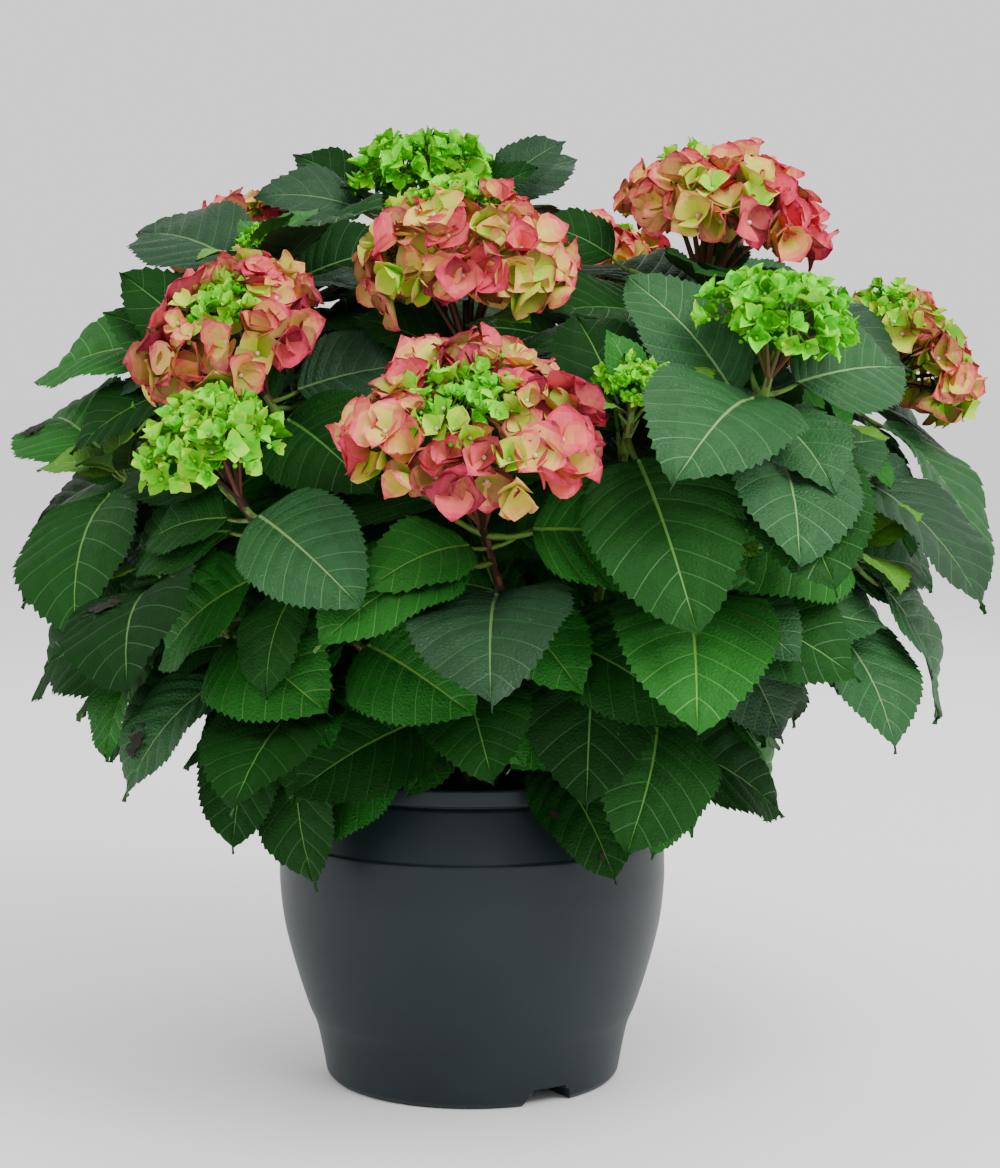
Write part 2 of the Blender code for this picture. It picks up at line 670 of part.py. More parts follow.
def keep_largest_body(mesh):
    """Welds and triangulates; drops loose scraps, and the inner skins of sealed hollows."""
    work = bmesh.new()
    work.from_mesh(mesh)
    bmesh.ops.remove_doubles(work, verts=work.verts, dist=WELD)
    bmesh.ops.triangulate(work, faces=work.faces)
    bodies = []
    unseen = set(work.verts)
    while unseen:
        stack = [unseen.pop()]
        body = set(stack)
        while stack:
            for edge in stack.pop().link_edges:
                for vertex in edge.verts:
                    if vertex in unseen:
                        unseen.discard(vertex)
                        body.add(vertex)
                        stack.append(vertex)
        bodies.append(body)
    bodies.sort(key=len)
    scraps = [vertex for body in bodies[:-1] for vertex in body]
    bmesh.ops.delete(work, geom=scraps, context="VERTS")
    closed = all(len(edge.link_faces) == 2 for edge in work.edges)
    work.to_mesh(mesh)
    work.free()
    return closed


def replace_mesh(obj, mesh, name, collection):
    bpy.data.objects.remove(obj, do_unlink=True)
    made = bpy.data.objects.new(name, mesh)
    collection.objects.link(made)
    return made


def evaluated_mesh(obj):
    depsgraph = bpy.context.evaluated_depsgraph_get()
    return bpy.data.meshes.new_from_object(obj.evaluated_get(depsgraph))


def fuse(stem, pieces, name, collection):
    """One union of the stem with all its pieces; a leaf is dropped where no solver closes it."""
    leaves = [obj for obj in pieces.objects if obj.name.startswith("leaf")]
    while True:
        for solver in ("EXACT", "MANIFOLD"):
            union = stem.modifiers.new("fuse", "BOOLEAN")
            union.operation = "UNION"
            union.operand_type = "COLLECTION"
            union.collection = pieces
            union.solver = solver
            if solver == "EXACT":
                union.material_mode = "TRANSFER"
            mesh = evaluated_mesh(stem)
            stem.modifiers.remove(union)
            if keep_largest_body(mesh):
                return replace_mesh(stem, mesh, name, collection)
        bpy.data.objects.remove(leaves.pop(), do_unlink=True)


def make_shoot(plant, collection, finishes):
    """Cane and mass of one shoot."""
    shoot = plant["shoot"]
    path = plant["path"]
    split = plant["split"]
    if plant["tall"]:
        limb(f"cane_{shoot.name}", limb_points(path, plant["total"], split + GAP, LIMB_RINGS),
             CANE_FOOT_RADIUS, CANE_TIP_RADIUS, 1, collection, finishes["bark"])
    name = f"shoot_{shoot.name}"
    curve = limb(name, limb_points(path, split, 0.0, LIMB_RINGS),
                 CANE_TIP_RADIUS, STEM_TIP_RADIUS, 0, collection, finishes["stem"])
    mesh = evaluated_mesh(curve)
    keep_largest_body(mesh)
    stem = replace_mesh(curve, mesh, name, collection)
    pieces = bpy.data.collections.new(f"pieces_{shoot.name}")
    bpy.context.scene.collection.children.link(pieces)
    for leaf in plant["leaves"]:
        make_leaf(leaf, pieces, finishes["leaf"])
    if shoot.bloom:
        make_bloom(shoot, pieces, finishes["bloom"])
    fuse(stem, pieces, name, collection)
    for obj in list(pieces.objects):
        bpy.data.objects.remove(obj, do_unlink=True)
    bpy.data.collections.remove(pieces)


def main():
    clear_scene()
    finishes = {
        "pot": material("slate plastic", (0.030, 0.042, 0.048), 0.45),
        "soil": material("potting soil", (0.030, 0.020, 0.013), 0.95),
        "bark": material("cane bark", (0.075, 0.055, 0.035), 0.80),
        "stem": material("green stem", (0.080, 0.130, 0.030), 0.60),
        "leaf": material("leaf", (0.020, 0.095, 0.025), 0.50),
        "bloom": material("bloom", (0.500, 0.150, 0.130), 0.60),
    }
    plant = new_collection("hydrangea")
    cutters = new_collection("cutters")
    make_pot(plant, cutters, finishes["pot"])
    make_soil(plant, finishes["soil"])
    make_stock(plant, finishes["bark"])
    for grown in grow():
        make_shoot(grown, plant, finishes)


if __name__ == "__main__":
    main()
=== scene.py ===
"""Looks of the potted hydrangea: leaves, flower heads, canes, soil, pot, light and camera.

Metres, +Z up, front towards -Y.  The origin is the middle of the pot's flat underside.
The layout below is the solids' own rule, written again: every shoot, leaf and flower head sits
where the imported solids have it, but for the leaves in LEFT_OUT, and finer leaves and twigs grow
on from there.
"""
import math
from collections import namedtuple

import bmesh
import bpy
import numpy as np
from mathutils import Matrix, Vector
from mathutils.bvhtree import BVHTree


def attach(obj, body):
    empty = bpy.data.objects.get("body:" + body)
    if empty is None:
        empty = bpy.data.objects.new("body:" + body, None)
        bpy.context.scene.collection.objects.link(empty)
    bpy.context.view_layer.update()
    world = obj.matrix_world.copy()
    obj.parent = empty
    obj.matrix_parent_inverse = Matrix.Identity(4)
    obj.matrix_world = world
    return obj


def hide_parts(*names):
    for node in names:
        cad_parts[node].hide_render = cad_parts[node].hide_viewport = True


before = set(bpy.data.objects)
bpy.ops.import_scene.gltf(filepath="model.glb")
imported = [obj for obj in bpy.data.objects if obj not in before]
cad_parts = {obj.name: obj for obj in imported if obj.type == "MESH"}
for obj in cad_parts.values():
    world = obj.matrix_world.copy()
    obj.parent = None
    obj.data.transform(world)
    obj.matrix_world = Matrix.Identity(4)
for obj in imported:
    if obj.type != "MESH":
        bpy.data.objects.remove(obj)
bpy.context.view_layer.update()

# ---------------------------------------------------------------- driving sizes, metres
GAP = 0.0003                    # between solids that touch

POT_HEIGHT = 0.230
SHOULDER_RADIUS = 0.1402        # widest ring of the pot
FLOOR = 0.018                   # deep enough to hold the drainage channels
SOIL_TOP = 0.205
SOIL_EDGE = 0.1235              # radius of the soil's flat top, clear of the pot's wall
SOIL_LUMPS = 0.0022             # height of its broad lumps, and how much lower it lies for them
SOIL_CRUMBS = 0.0016
SOIL_CHIPS = 420
CHIP_LENGTH = 0.003             # half of the smallest chip's
CHIP_SPREAD = 0.006

# Outer wall from the lip down to the foot and the inside from the lip down to the floor, as
# (radius, height).
POT_WALL = (
    (0.1268, POT_HEIGHT), (0.1278, 0.2285), (0.1278, 0.2185), (0.1264, 0.2172), (0.1290, 0.2150),
    (0.1382, 0.1800), (0.1396, 0.1785), (SHOULDER_RADIUS, 0.1600), (SHOULDER_RADIUS, 0.1420),
    (0.1370, 0.1140), (0.1297, 0.0840), (0.1203, 0.0540), (0.1136, 0.0370), (0.1070, 0.0035),
    (0.1040, 0.0),
)
POT_INSIDE = (
    (0.1238, POT_HEIGHT), (0.1238, 0.2140), (0.1352, 0.1700), (0.1352, 0.1420), (0.1255, 0.0820),
    (0.1090, 0.0380), (0.1030, FLOOR),
)
POT_SMOOTH = (6, 13)            # the first and last point of the wall's smooth curve
POT_AXIS = 0.0005               # radius of the small face at the middle of the floor
POT_SIDES = 192

CHANNEL_WIDTH = 0.032
CHANNEL_FOOT_FLARE = 1.5        # width below the foot against CHANNEL_WIDTH
CHANNEL_HEIGHT = 0.012
CHANNEL_INNER_END = 0.055
CHANNEL_OUTER_END = 0.140
CHANNEL_COUNT = 2
CHANNEL_FIRST_AZIMUTH = -59.0

STOCK_RADIUS = 0.042
STOCK_FLARE_RADIUS = 0.050
STOCK_CENTRE = Vector((0.0, 0.0, SOIL_TOP + 0.010))
STOCK_RIDGE = 0.0016            # height of its broad knobs and of its bark
STOCK_ROUGH = 0.0012
STOCK_DOME = 0.8                # share of its rows in the dome, the others are in the flared foot
STOCK_TURN = 96.0               # degrees from the dome's top to its lower edge
STOCK_WAIST = 0.0044            # depth of that edge below the dome's middle
STOCK_STUBS = 9
STUB_POLAR = 72.0               # degrees down from the dome's top
STUB_ROOT = 0.006               # depth of its root in the stock, and its length before it bends up
STUB_OUT = 0.008
STUB_HIGH = 0.012               # its least height from there, and what it can have more
STUB_RADII = (0.0055, 0.0045, 0.0042)
STUB_RIDGES = 0.2

# Where each limb leaves the stock: degrees down from the top of its dome.
CROWN_FOOT_POLAR = 14.0
FOOT_POLAR_GAIN = 205.0         # for each metre of the limb's reach
TALL_FOOT_POLAR = 60.0          # the lowest a cane starts
FOOT_STAGGER = 9.0              # neighbours up and down the dome
FOOT_PULL = 0.35                # from an even spread towards the tip's own azimuth
LOW_FOOT_POLAR = 84.0

CANE_FOOT_RADIUS = 0.0045
CANE_TIP_RADIUS = 0.0040
STEM_TIP_RADIUS = 0.0026
SHORTEST_CANE = 0.050
STEM_STEP = 0.008               # between rings of a stem, and of a cane
CANE_STEP = 0.006
JOINT_LENGTH = 0.005            # of the swelling where a pair of leaves leaves the stem
JOINT_SWELL = 0.28              # shares of the radius: at a joint, at a cane's scars and at its foot
SCAR_SWELL = 0.22
FOOT_SWELL = 0.5
SCAR_STEP = 31                  # millimetres from scar to scar
SCAR_WIDTH = 2.5
FOOT_LENGTH = 0.006
BARK_RIDGES = 0.22
LIMB_CLEARANCE = 0.0020
STRAIGHT_END = 0.006            # a limb leaves the stock straight for this far
PATH_STEPS = 40
TIP_PULL = 0.8                  # how long a limb keeps to its tip's direction

LEAF_LENGTH = 0.133             # blade, without its stalk
LEAF_HALF_WIDTH = 0.36          # of the length
LEAF_FOLD = math.radians(11)
LEAF_NOSE = 0.96                # the outline's egg ends here and the drawn-out tip begins
WIDTH_RISE = 0.62               # powers of the outline from the base and from the tip
WIDTH_FALL = 0.86
STALK_LENGTH = 0.030
STALK_HALF_WIDTH = 0.0022
STALK_RADII = (0.0030, 0.0024, 0.0020, 0.0018, 0.0018, 0.0012)
SHORTEST_LEAF = 0.050
CLEARANCE = 0.0026              # half the thickness of a leaf's own space
LEAF_MIDDLE = 0.4
FAR_APART = 0.20                # leaves with middles this far apart aren't tested

# Pairs of leaves along a stem.
FIRST_PAIR_DROP = 0.020         # below the foot of the bloom
LEAFY_PAIR_DROP = 0.004         # below the tip of a shoot with no bloom
PAIR_SPACING = 0.042
PAIR_SPACING_GROWTH = 0.010
STEM_BELOW_LAST_PAIR = 0.022
PAIR_OFFSET = 0.0012            # along the stem between the two leaves of a pair
PAIR_TURN = 90.0                # each pair to the last, degrees
ROOT_ROOM = 0.02                # no finer twig is closer to the stock than this along its stem

# How a leaf rests, in degrees.
TURN_JITTER = 9.0
LEAF_TILT = -12.0               # of the first pair, from square to the stem
TILT_JITTER = 7.0
TILT_PER_PAIR = -4.0
TOP_TILT = 28.0                 # more, for leaves at the top of the crown
TOP_START = 0.47                # where the top of the crown begins, and its depth
TOP_DEPTH = 0.12
DROOP = 44.0
TOP_DROOP = -10.0
DROOP_SPREAD = 16.0
TWIST_SPREAD = 0.40
LENGTH_JITTER = 0.08
LIGHT_PULL = Vector((0.0, -0.45, 0.32))     # leaves turn from the stem's tip to the light
LIGHT_END_Y = 0.15              # behind this the light from the front doesn't reach
LIGHT_FADE = 0.10

# The space that leaves keep to.
CROWN_MIDDLE_X = 0.022
CROWN_RADIUS = 0.366            # no leaf's tip leaves this
SKIRT_LOW = 0.160               # lowest tip close to the pot
SKIRT_STEP_REACH = 0.205        # past the pot's side the lowest tips step up by SKIRT_STEP
SKIRT_STEP = 0.052
SKIRT_STEP_WIDTH = 0.03
SKIRT_REACH = 0.28              # and beyond this reach they rise steadily
SKIRT_RISE = 0.75
FRONT_LOW = 0.228               # lowest tip where the rim shows at the front
FRONT_HALF_GAP = 0.075

# A bloom's shape against its radius.
BLOOM_FOOT = 0.30               # depth of its foot below its middle
BLOOM_RISE = 0.60               # height of its dome
BLOOM_LUMPS = 0.075
BLOOM_SPACE = 1.04              # of the dome that leaves keep clear of
BLOOM_SPACE_RISE = 0.66
BLOOM_SPACE_DROP = 0.45
YOUNG_BLOOM = 0.03              # blooms over this radius have fewer young leaves round them
DARK_STEMS = ("front", "left_green", "upper")

# Sides of the plain shapes for the tests, and a direction in which no limb runs.
POT_TEST_SIDES = 20
LIMB_TEST_SIDES = 5
BLOOM_TEST_SIDES = 10
SKEW = Vector((0.31, 0.95, 0.05))

# The bloom's middle (or a leafy shoot's tip), the bloom's radius, its lean outwards in degrees,
# the turn of the first pair of leaves about the stem (0 has one leaf on the outer side), the
# number of pairs, and the leaves' size against LEAF_LENGTH.
Shoot = namedtuple("Shoot", "name place bloom lean phase pairs size")

TALL_SHOOTS = (
    Shoot("front", (0.006, -0.255, 0.476), 0.087, 28, 95, 4, 1.12),
    Shoot("upper", (-0.003, -0.100, 0.586), 0.077, 10, 50, 4, 0.95),
    Shoot("left", (-0.160, -0.130, 0.537), 0.070, 36, 60, 4, 0.95),
    Shoot("back_left", (-0.160, 0.120, 0.602), 0.064, 18, 20, 4, 0.95),
    Shoot("top", (-0.036, 0.100, 0.656), 0.050, 5, 75, 4, 0.95),
    Shoot("right_top", (0.177, -0.020, 0.617), 0.078, 14, -5, 4, 1.00),
    Shoot("right_green", (0.201, -0.200, 0.545), 0.050, 14, -55, 4, 1.12),
    Shoot("right_edge", (0.320, 0.030, 0.522), 0.062, 55, 60, 4, 1.00),
    Shoot("front_bud", (0.107, -0.220, 0.508), 0.026, 20, -55, 4, 1.00),
    Shoot("left_green", (-0.164, -0.215, 0.470), 0.046, 30, 70, 4, 0.90),
    Shoot("left_bud", (-0.150, -0.005, 0.603), 0.018, 12, 130, 4, 0.95),
    Shoot("low_bud", (0.150, -0.175, 0.400), 0.011, 35, -30, 3, 1.15),
    Shoot("far_left", (-0.185, -0.005, 0.530), 0.0, 25, 10, 4, 0.95),
    Shoot("left_side", (-0.245, -0.040, 0.440), 0.0, 40, 60, 4, 1.00),
    Shoot("left_low", (-0.205, -0.125, 0.375), 0.0, 42, 25, 4, 1.00),
    Shoot("left_skirt", (-0.232, -0.030, 0.345), 0.0, 58, 15, 3, 1.00),
    Shoot("far_right", (0.245, -0.060, 0.455), 0.0, 40, 20, 4, 1.05),
    Shoot("right_low", (0.262, -0.110, 0.392), 0.0, 45, 40, 4, 1.00),
    Shoot("back", (0.095, 0.170, 0.575), 0.072, 18, 40, 4, 1.00),
    Shoot("back_mid", (-0.010, 0.260, 0.480), 0.080, 34, 80, 4, 1.05),
    Shoot("back_right", (0.225, 0.190, 0.480), 0.066, 36, 10, 4, 1.00),
    Shoot("back_far_left", (-0.225, 0.165, 0.470), 0.050, 36, 55, 4, 1.00),
)
# Leafy shoots round the foot that hang over the pot's rim: the azimuth, reach and height of the
# tip, then the turn of the first pair, the number of pairs and the size as above.
LOW_SHOOTS = (
    (-38, 0.165, 0.293, -26, 3, 0.92),
    (-76, 0.130, 0.285, 40, 2, 0.95),
    (-92, 0.160, 0.325, 26, 3, 0.88),
    (-126, 0.165, 0.298, 10, 2, 0.93),
    (-152, 0.165, 0.315, -20, 3, 1.00),
    (178, 0.165, 0.340, 10, 3, 1.00),
    (148, 0.170, 0.320, -10, 3, 1.00),
    (115, 0.165, 0.350, 15, 3, 1.00),
    (82, 0.170, 0.345, -5, 3, 1.00),
    (50, 0.165, 0.350, 10, 3, 1.00),
    (24, 0.170, 0.350, -10, 3, 1.00),
    (0, 0.165, 0.288, -4, 3, 1.00),
)
LOW_SHOOT_LEAN = 68

# Leaves that rest away from the rule: shoot, pair and side, with a further turn about the stem
# and a lift towards its tip, in degrees.
POSED = {
    ("front", 0, 1): (-40, -20),
    ("front", 1, 1): (-20, 30),
    ("front_bud", 0, 0): (10, 20),
    ("low_bud", 0, 0): (-15, 20),
    ("right_green", 0, 0): (0, 10),
    ("right_green", 1, 0): (-50, 40),
    ("right_top", 0, 1): (-60, -20),
    ("left_bud", 0, 1): (0, -10),
    ("top", 0, 0): (-40, 0),
    ("top", 0, 1): (45, 0),
    ("upper", 0, 0): (75, 50),
    ("left_green", 1, 1): (-70, -10),
    ("left_green", 3, 0): (0, 40),
    ("low_3", 0, 0): (10, 20),
    ("low_1", 0, 0): (-20, 10),
    ("low_0", 0, 0): (-30, 15),
    ("right_low", 1, 1): (0, 30),
    ("far_left", 0, 0): (-30, 0),
    ("left_side", 0, 1): (70, 10),
    ("left_low", 0, 0): (30, 20),
    ("left_low", 1, 0): (-50, 10),
    ("low_2", 0, 0): (-10, 40),
    ("right_edge", 0, 1): (70, 0),
    ("right_edge", 0, 0): (-40, 10),
    ("far_right", 0, 0): (-60, 10),
    ("right_low", 0, 0): (-40, -20),
}

# Turns of azimuth and elevation, and a factor on the size, tried in order for a leaf that
# would touch something.
TRIES = tuple((turn, lift, factor)
              for factor in (1.0, 0.86, 0.72)
              for turn, lift in ((0, 0), (14, 0), (-14, 0), (0, 13), (0, -13), (14, 13), (-14, 13),
                                 (14, -13), (-14, -13), (28, 0), (-28, 0), (0, 26), (0, -26),
                                 (28, 20), (-28, 20), (28, -20), (-28, -20)))
# Pairs of the finer twigs, between the others, and their leaves' size.
EXTRA_PAIRS = ((0.5, 0.84), (1.5, 0.84), (2.5, 0.84), (3.5, 0.84), (0.25, 0.6), (1.25, 0.6), (2.75, 0.6))

# Twigs that fill the top of the crown between the flower heads, each with one leaf.  The number
# counts as the leaf's pair; then come the shoot and the distance below its tip, the twig's
# azimuth and length, and the leaf's azimuth, elevation and length.
FIRST_TWIG = 20
CROWN_TWIGS = {
    20: ("top", 0.020, 10, 0.046, 5, 36, 0.066),
    21: ("top", 0.026, 34, 0.046, 26, 24, 0.080),
    22: ("top", 0.022, -20, 0.036, -30, 26, 0.056),
    23: ("top", 0.026, 178, 0.032, 190, 6, 0.084),
    24: ("top", 0.022, 150, 0.044, 166, 30, 0.066),
    25: ("top", 0.030, -70, 0.0, -70, 10, 0.090),
    26: ("top", 0.030, 100, 0.050, 100, 20, 0.080),
    27: ("back", 0.022, 170, 0.050, 165, 40, 0.100),
    28: ("back", 0.030, 200, 0.0, 200, 5, 0.100),
    29: ("back", 0.024, 0, 0.060, 0, 36, 0.100),
    33: ("far_left", 0.010, 180, 0.0, 178, 52, 0.078),
    34: ("back_left", 0.030, 90, 0.050, 90, 30, 0.090),
    35: ("right_top", 0.024, 172, 0.056, 165, 22, 0.066),
    38: ("right_top", 0.034, 250, 0.0, 250, 8, 0.090),
    40: ("left", 0.030, 10, 0.0, 10, 10, 0.095),
    41: ("left", 0.036, 40, 0.030, 50, 14, 0.090),
    43: ("front_bud", 0.024, 0, 0.0, 125, 40, 0.090),
    45: ("front", 0.034, 0, 0.0, 70, 20, 0.090),
    46: ("front", 0.098, 0, 0.0, 215, 10, 0.044),
    48: ("left_bud", 0.030, 20, 0.0, 20, 12, 0.100),
    49: ("right_green", 0.030, 30, 0.0, 30, 4, 0.110),
    50: ("right_edge", 0.030, 120, 0.0, 120, 35, 0.095),
    51: ("far_left", 0.020, 190, 0.0, 190, 24, 0.080),
}
CROWN_TRIES = ((0, 0), (12, 0), (-12, 0), (0, 12), (0, -12), (20, 10), (-20, 10), (20, -10), (-20, -10),
               (0, 24), (0, -24), (32, 0), (-32, 0))
CROWN_PULL = Vector((0.0, -1.1, 0.1))       # crown leaves turn their faces to the front
TWIG_RISE = 14                  # elevation of a twig, degrees


# ---------------------------------------------------------------- small helpers
def scatter(*keys):
    """A repeatable number from 0 to 1 for a set of whole numbers."""
    weights = (12.9898, 78.233, 37.719, 9.151)
    value = math.sin(sum(key * weight for key, weight in zip(keys, weights)))
    return (value * 43758.5453) % 1.0


def jitter(amount, *keys):
    return amount * (2.0 * scatter(*keys) - 1.0)


def shake(keys, *numbers):
    """A vector whose parts lie between -1 and 1."""
    return Vector([jitter(1, *keys, number) for number in numbers])


def clamp(value):
    return max(0.0, min(1.0, value))


def pick(tones, *keys):
    """One of the tones; those listed more often come up more often."""
    return tones[int((len(tones) - 0.01) * scatter(*keys))]


def heading(azimuth, elevation):
    """Unit vector from angles in degrees."""
    turn = math.radians(azimuth)
    rise = math.radians(elevation)
    return Vector((math.cos(turn) * math.cos(rise), math.sin(turn) * math.cos(rise), math.sin(rise)))


def azimuth_of(place):
    return math.degrees(math.atan2(place[1], place[0]))


def between(angle, first, second):
    """The direction at an angle from the first direction towards the second, square to it."""
    return math.cos(angle) * first + math.sin(angle) * second


def circle(place, radii, across, other):
    """Points round a place, one for each radius."""
    return [place + radius * between(math.tau * i / len(radii), across, other)
            for i, radius in enumerate(radii)]


def grid_faces(rows, columns, closed=True, turned=False, first=0):
    """Quads between rows of points, where each row is a ring or, if not closed, a strip."""
    faces = []
    for row in range(rows - 1):
        for column in range(columns if closed else columns - 1):
            a = first + row * columns + column
            b = first + row * columns + (column + 1) % columns
            faces.append((a, a + columns, b + columns, b) if turned else (a, b, b + columns, a + columns))
    return faces


def lathe(profile, sides, turned=False):
    """Points and faces of a turned shape with this profile of radii and heights."""
    points = [Vector((r * math.cos(math.tau * i / sides), r * math.sin(math.tau * i / sides), z))
              for r, z in profile for i in range(sides)]
    return points, grid_faces(len(profile), sides, turned=turned)


# ---------------------------------------------------------------- the plant's layout
def bloom_axis(shoot):
    return heading(azimuth_of(shoot.place), 90.0 - shoot.lean)


def shoot_path(shoot, normal):
    """Points from the stock's surface to the foot of the bloom."""
    place = Vector(shoot.place)
    axis = bloom_axis(shoot)
    tip = place - axis * (BLOOM_FOOT * shoot.bloom)
    start = STOCK_CENTRE + normal * (STOCK_RADIUS + GAP)
    leave = start + normal * STRAIGHT_END
    span = (tip - leave).length
    points = [start]
    for step in range(PATH_STEPS + 1):
        t = step / PATH_STEPS
        points.append(leave * (2 * t**3 - 3 * t**2 + 1) + normal * span * (t**3 - 2 * t**2 + t)
                      + tip * (3 * t**2 - 2 * t**3) + axis * span * TIP_PULL * (t**3 - t**2))
    return points


def point_below(path, distance):
    """Point and direction at a distance back from the path's tip."""
    left = distance
    for ahead, behind in zip(path[:0:-1], path[-2::-1]):
        step = (ahead - behind).length
        if step >= left:
            return ahead.lerp(behind, left / step), (ahead - behind).normalized()
        left -= step
    return path[0], (path[1] - path[0]).normalized()


def path_shell(points):
    """The limb round a path, with its clearance, for the tests."""
    radii = [CANE_TIP_RADIUS + LIMB_CLEARANCE] * LIMB_TEST_SIDES
    verts = []
    for index, point in enumerate(points):
        ahead = points[min(index + 1, len(points) - 1)] - points[max(index - 1, 0)]
        across = ahead.cross(SKEW).normalized()
        verts += circle(point, radii, across, ahead.normalized().cross(across))
    return verts, grid_faces(len(points), LIMB_TEST_SIDES)


def bloom_shell(shoot):
    """Coarse dome for the tests."""
    turn = bloom_axis(shoot).to_track_quat("Z", "Y")
    place = Vector(shoot.place)
    profile = []
    for angle in (88, 60, 30, 0, -40, -88):
        turned_up = math.radians(angle)
        rise = BLOOM_SPACE_RISE if angle > 0 else BLOOM_SPACE_DROP
        profile.append((shoot.bloom * BLOOM_SPACE * math.cos(turned_up),
                        shoot.bloom * rise * math.sin(turned_up)))
    verts, faces = lathe(profile, BLOOM_TEST_SIDES)
    return [place + turn @ v for v in verts], faces


def foot_normals(shoots):
    """Directions from the stock's middle to the foot of each limb, so that neighbours keep apart."""
    tall = len(TALL_SHOOTS)
    normals = [heading(azimuth_of(shoot.place), 90.0 - LOW_FOOT_POLAR) for shoot in shoots]
    order = sorted(range(tall), key=lambda index: azimuth_of(shoots[index].place))
    for rank, index in enumerate(order):
        place = shoots[index].place
        even = -180.0 + 360.0 * (rank + 0.5) / tall
        azimuth = even + FOOT_PULL * (azimuth_of(place) - even)
        polar = CROWN_FOOT_POLAR + FOOT_POLAR_GAIN * math.hypot(place[0], place[1])
        stagger = FOOT_STAGGER * (-1) ** rank
        normals[index] = heading(azimuth, 90.0 - min(TALL_FOOT_POLAR, polar) - stagger)
    return normals


def low_shoots():
    shoots = []
    for index, (azimuth, reach, height, phase, pairs, size) in enumerate(LOW_SHOOTS):
        turn = math.radians(azimuth)
        place = (reach * math.cos(turn), reach * math.sin(turn), height)
        shoots.append(Shoot(f"low_{index}", place, 0.0, LOW_SHOOT_LEAN, phase, pairs, size))
    return shoots


def pair_depth(shoot, pair):
    """Distance of a pair of leaves below the shoot's tip."""
    first = BLOOM_FOOT * shoot.bloom + FIRST_PAIR_DROP if shoot.bloom else LEAFY_PAIR_DROP
    return first + PAIR_SPACING * pair + PAIR_SPACING_GROWTH * pair * pair


def egg(t):
    """Half width of a blade against its length: egg-shaped, widest at two fifths."""
    body = np.clip(t / LEAF_NOSE, 0.0, 1.0)
    widest = WIDTH_RISE / (WIDTH_RISE + WIDTH_FALL)
    peak = widest**WIDTH_RISE * (1.0 - widest)**WIDTH_FALL
    return LEAF_HALF_WIDTH * body**WIDTH_RISE * (1.0 - body)**WIDTH_FALL / peak


# The plain sheet of a leaf for the tests: two points at the stalk's root, two at its end, three
# in each row of the blade and one at its tip.
BLADE_ROWS = tuple((t, float(egg(t))) for t in (0.26, 0.64))
SHEET = [(0, 1, 3, 2), (2, 5, 4), (2, 3, 5), (3, 6, 5), (4, 5, 8, 7), (5, 6, 9, 8), (7, 8, 10), (8, 9, 10)]
SHEET_RIM = [0, 2, 4, 7, 10, 9, 6, 3, 1]


class Leaf:
    """One leaf: its root on the stem's axis, mean direction, face direction, droop and length."""

    def __init__(self, root, ahead, face, droop, length):
        self.root = root
        self.ahead = ahead
        self.side = face.cross(ahead).normalized()
        self.face = ahead.cross(self.side)
        self.droop = math.radians(droop)
        self.length = length
        start = between(self.droop / 2, ahead, self.face)
        self.base = root + start * STALK_LENGTH * length / LEAF_LENGTH

    def arc(self, t):
        """How far the midrib has gone ahead and up at t, against its length, and its slope there."""
        rise = self.droop / 2
        slope = rise - self.droop * t
        ahead = (math.sin(rise) - np.sin(slope)) / self.droop
        up = (np.cos(slope) - math.cos(rise)) / self.droop
        return ahead, up, slope

    def rib(self, t):
        """Point of the midrib at t and the blade's upward normal there."""
        ahead, up, slope = (float(value) for value in self.arc(t))
        point = self.base + self.length * (ahead * self.ahead + up * self.face)
        return point, between(slope, self.face, -self.ahead)

    def sheet(self):
        """Points of the plain sheet, from the stalk's root to the blade's tip."""
        half = STALK_HALF_WIDTH * self.side
        points = [self.root - half, self.root + half, self.base - half, self.base + half]
        for t, wide in BLADE_ROWS:
            point, normal = self.rib(t)
            across = wide * self.length * math.cos(LEAF_FOLD) * self.side
            lift = wide * self.length * math.sin(LEAF_FOLD) * normal
            points += [point - across + lift, point, point + across + lift]
        return points + [self.rib(1.0)[0]]

    def trees(self, roomy=True):
        """Trees of the whole leaf and of its blade alone, with the space round them if roomy."""
        points = self.sheet()
        if not roomy:
            return [BVHTree.FromPolygons(points, SHEET[first:]) for first in (0, 1)]
        count = len(points)
        lift = self.face * CLEARANCE
        shell = [v + lift for v in points] + [v - lift for v in points]
        trees = []
        for sheet, rim in ((SHEET, SHEET_RIM), (SHEET[1:], SHEET_RIM[1:-1])):
            under = [tuple(i + count for i in face) for face in sheet]
            sides = [(a, b, b + count, a + count) for a, b in zip(rim, rim[1:] + rim[:1])]
            trees.append(BVHTree.FromPolygons(shell, sheet + under + sides))
        return trees

    def out_of_space(self):
        """True where the leaf's tip is outside the crown or hangs below its skirt."""
        tip = self.rib(1.0)[0]
        reach = math.hypot(tip.x - CROWN_MIDDLE_X, tip.y)
        lowest = SKIRT_LOW + SKIRT_STEP * clamp((reach - SKIRT_STEP_REACH) / SKIRT_STEP_WIDTH)
        lowest += SKIRT_RISE * max(0.0, reach - SKIRT_REACH)
        if abs(tip.x) < FRONT_HALF_GAP and tip.y < 0.0:
            lowest = max(lowest, FRONT_LOW)
        return reach > CROWN_RADIUS or tip.z < lowest


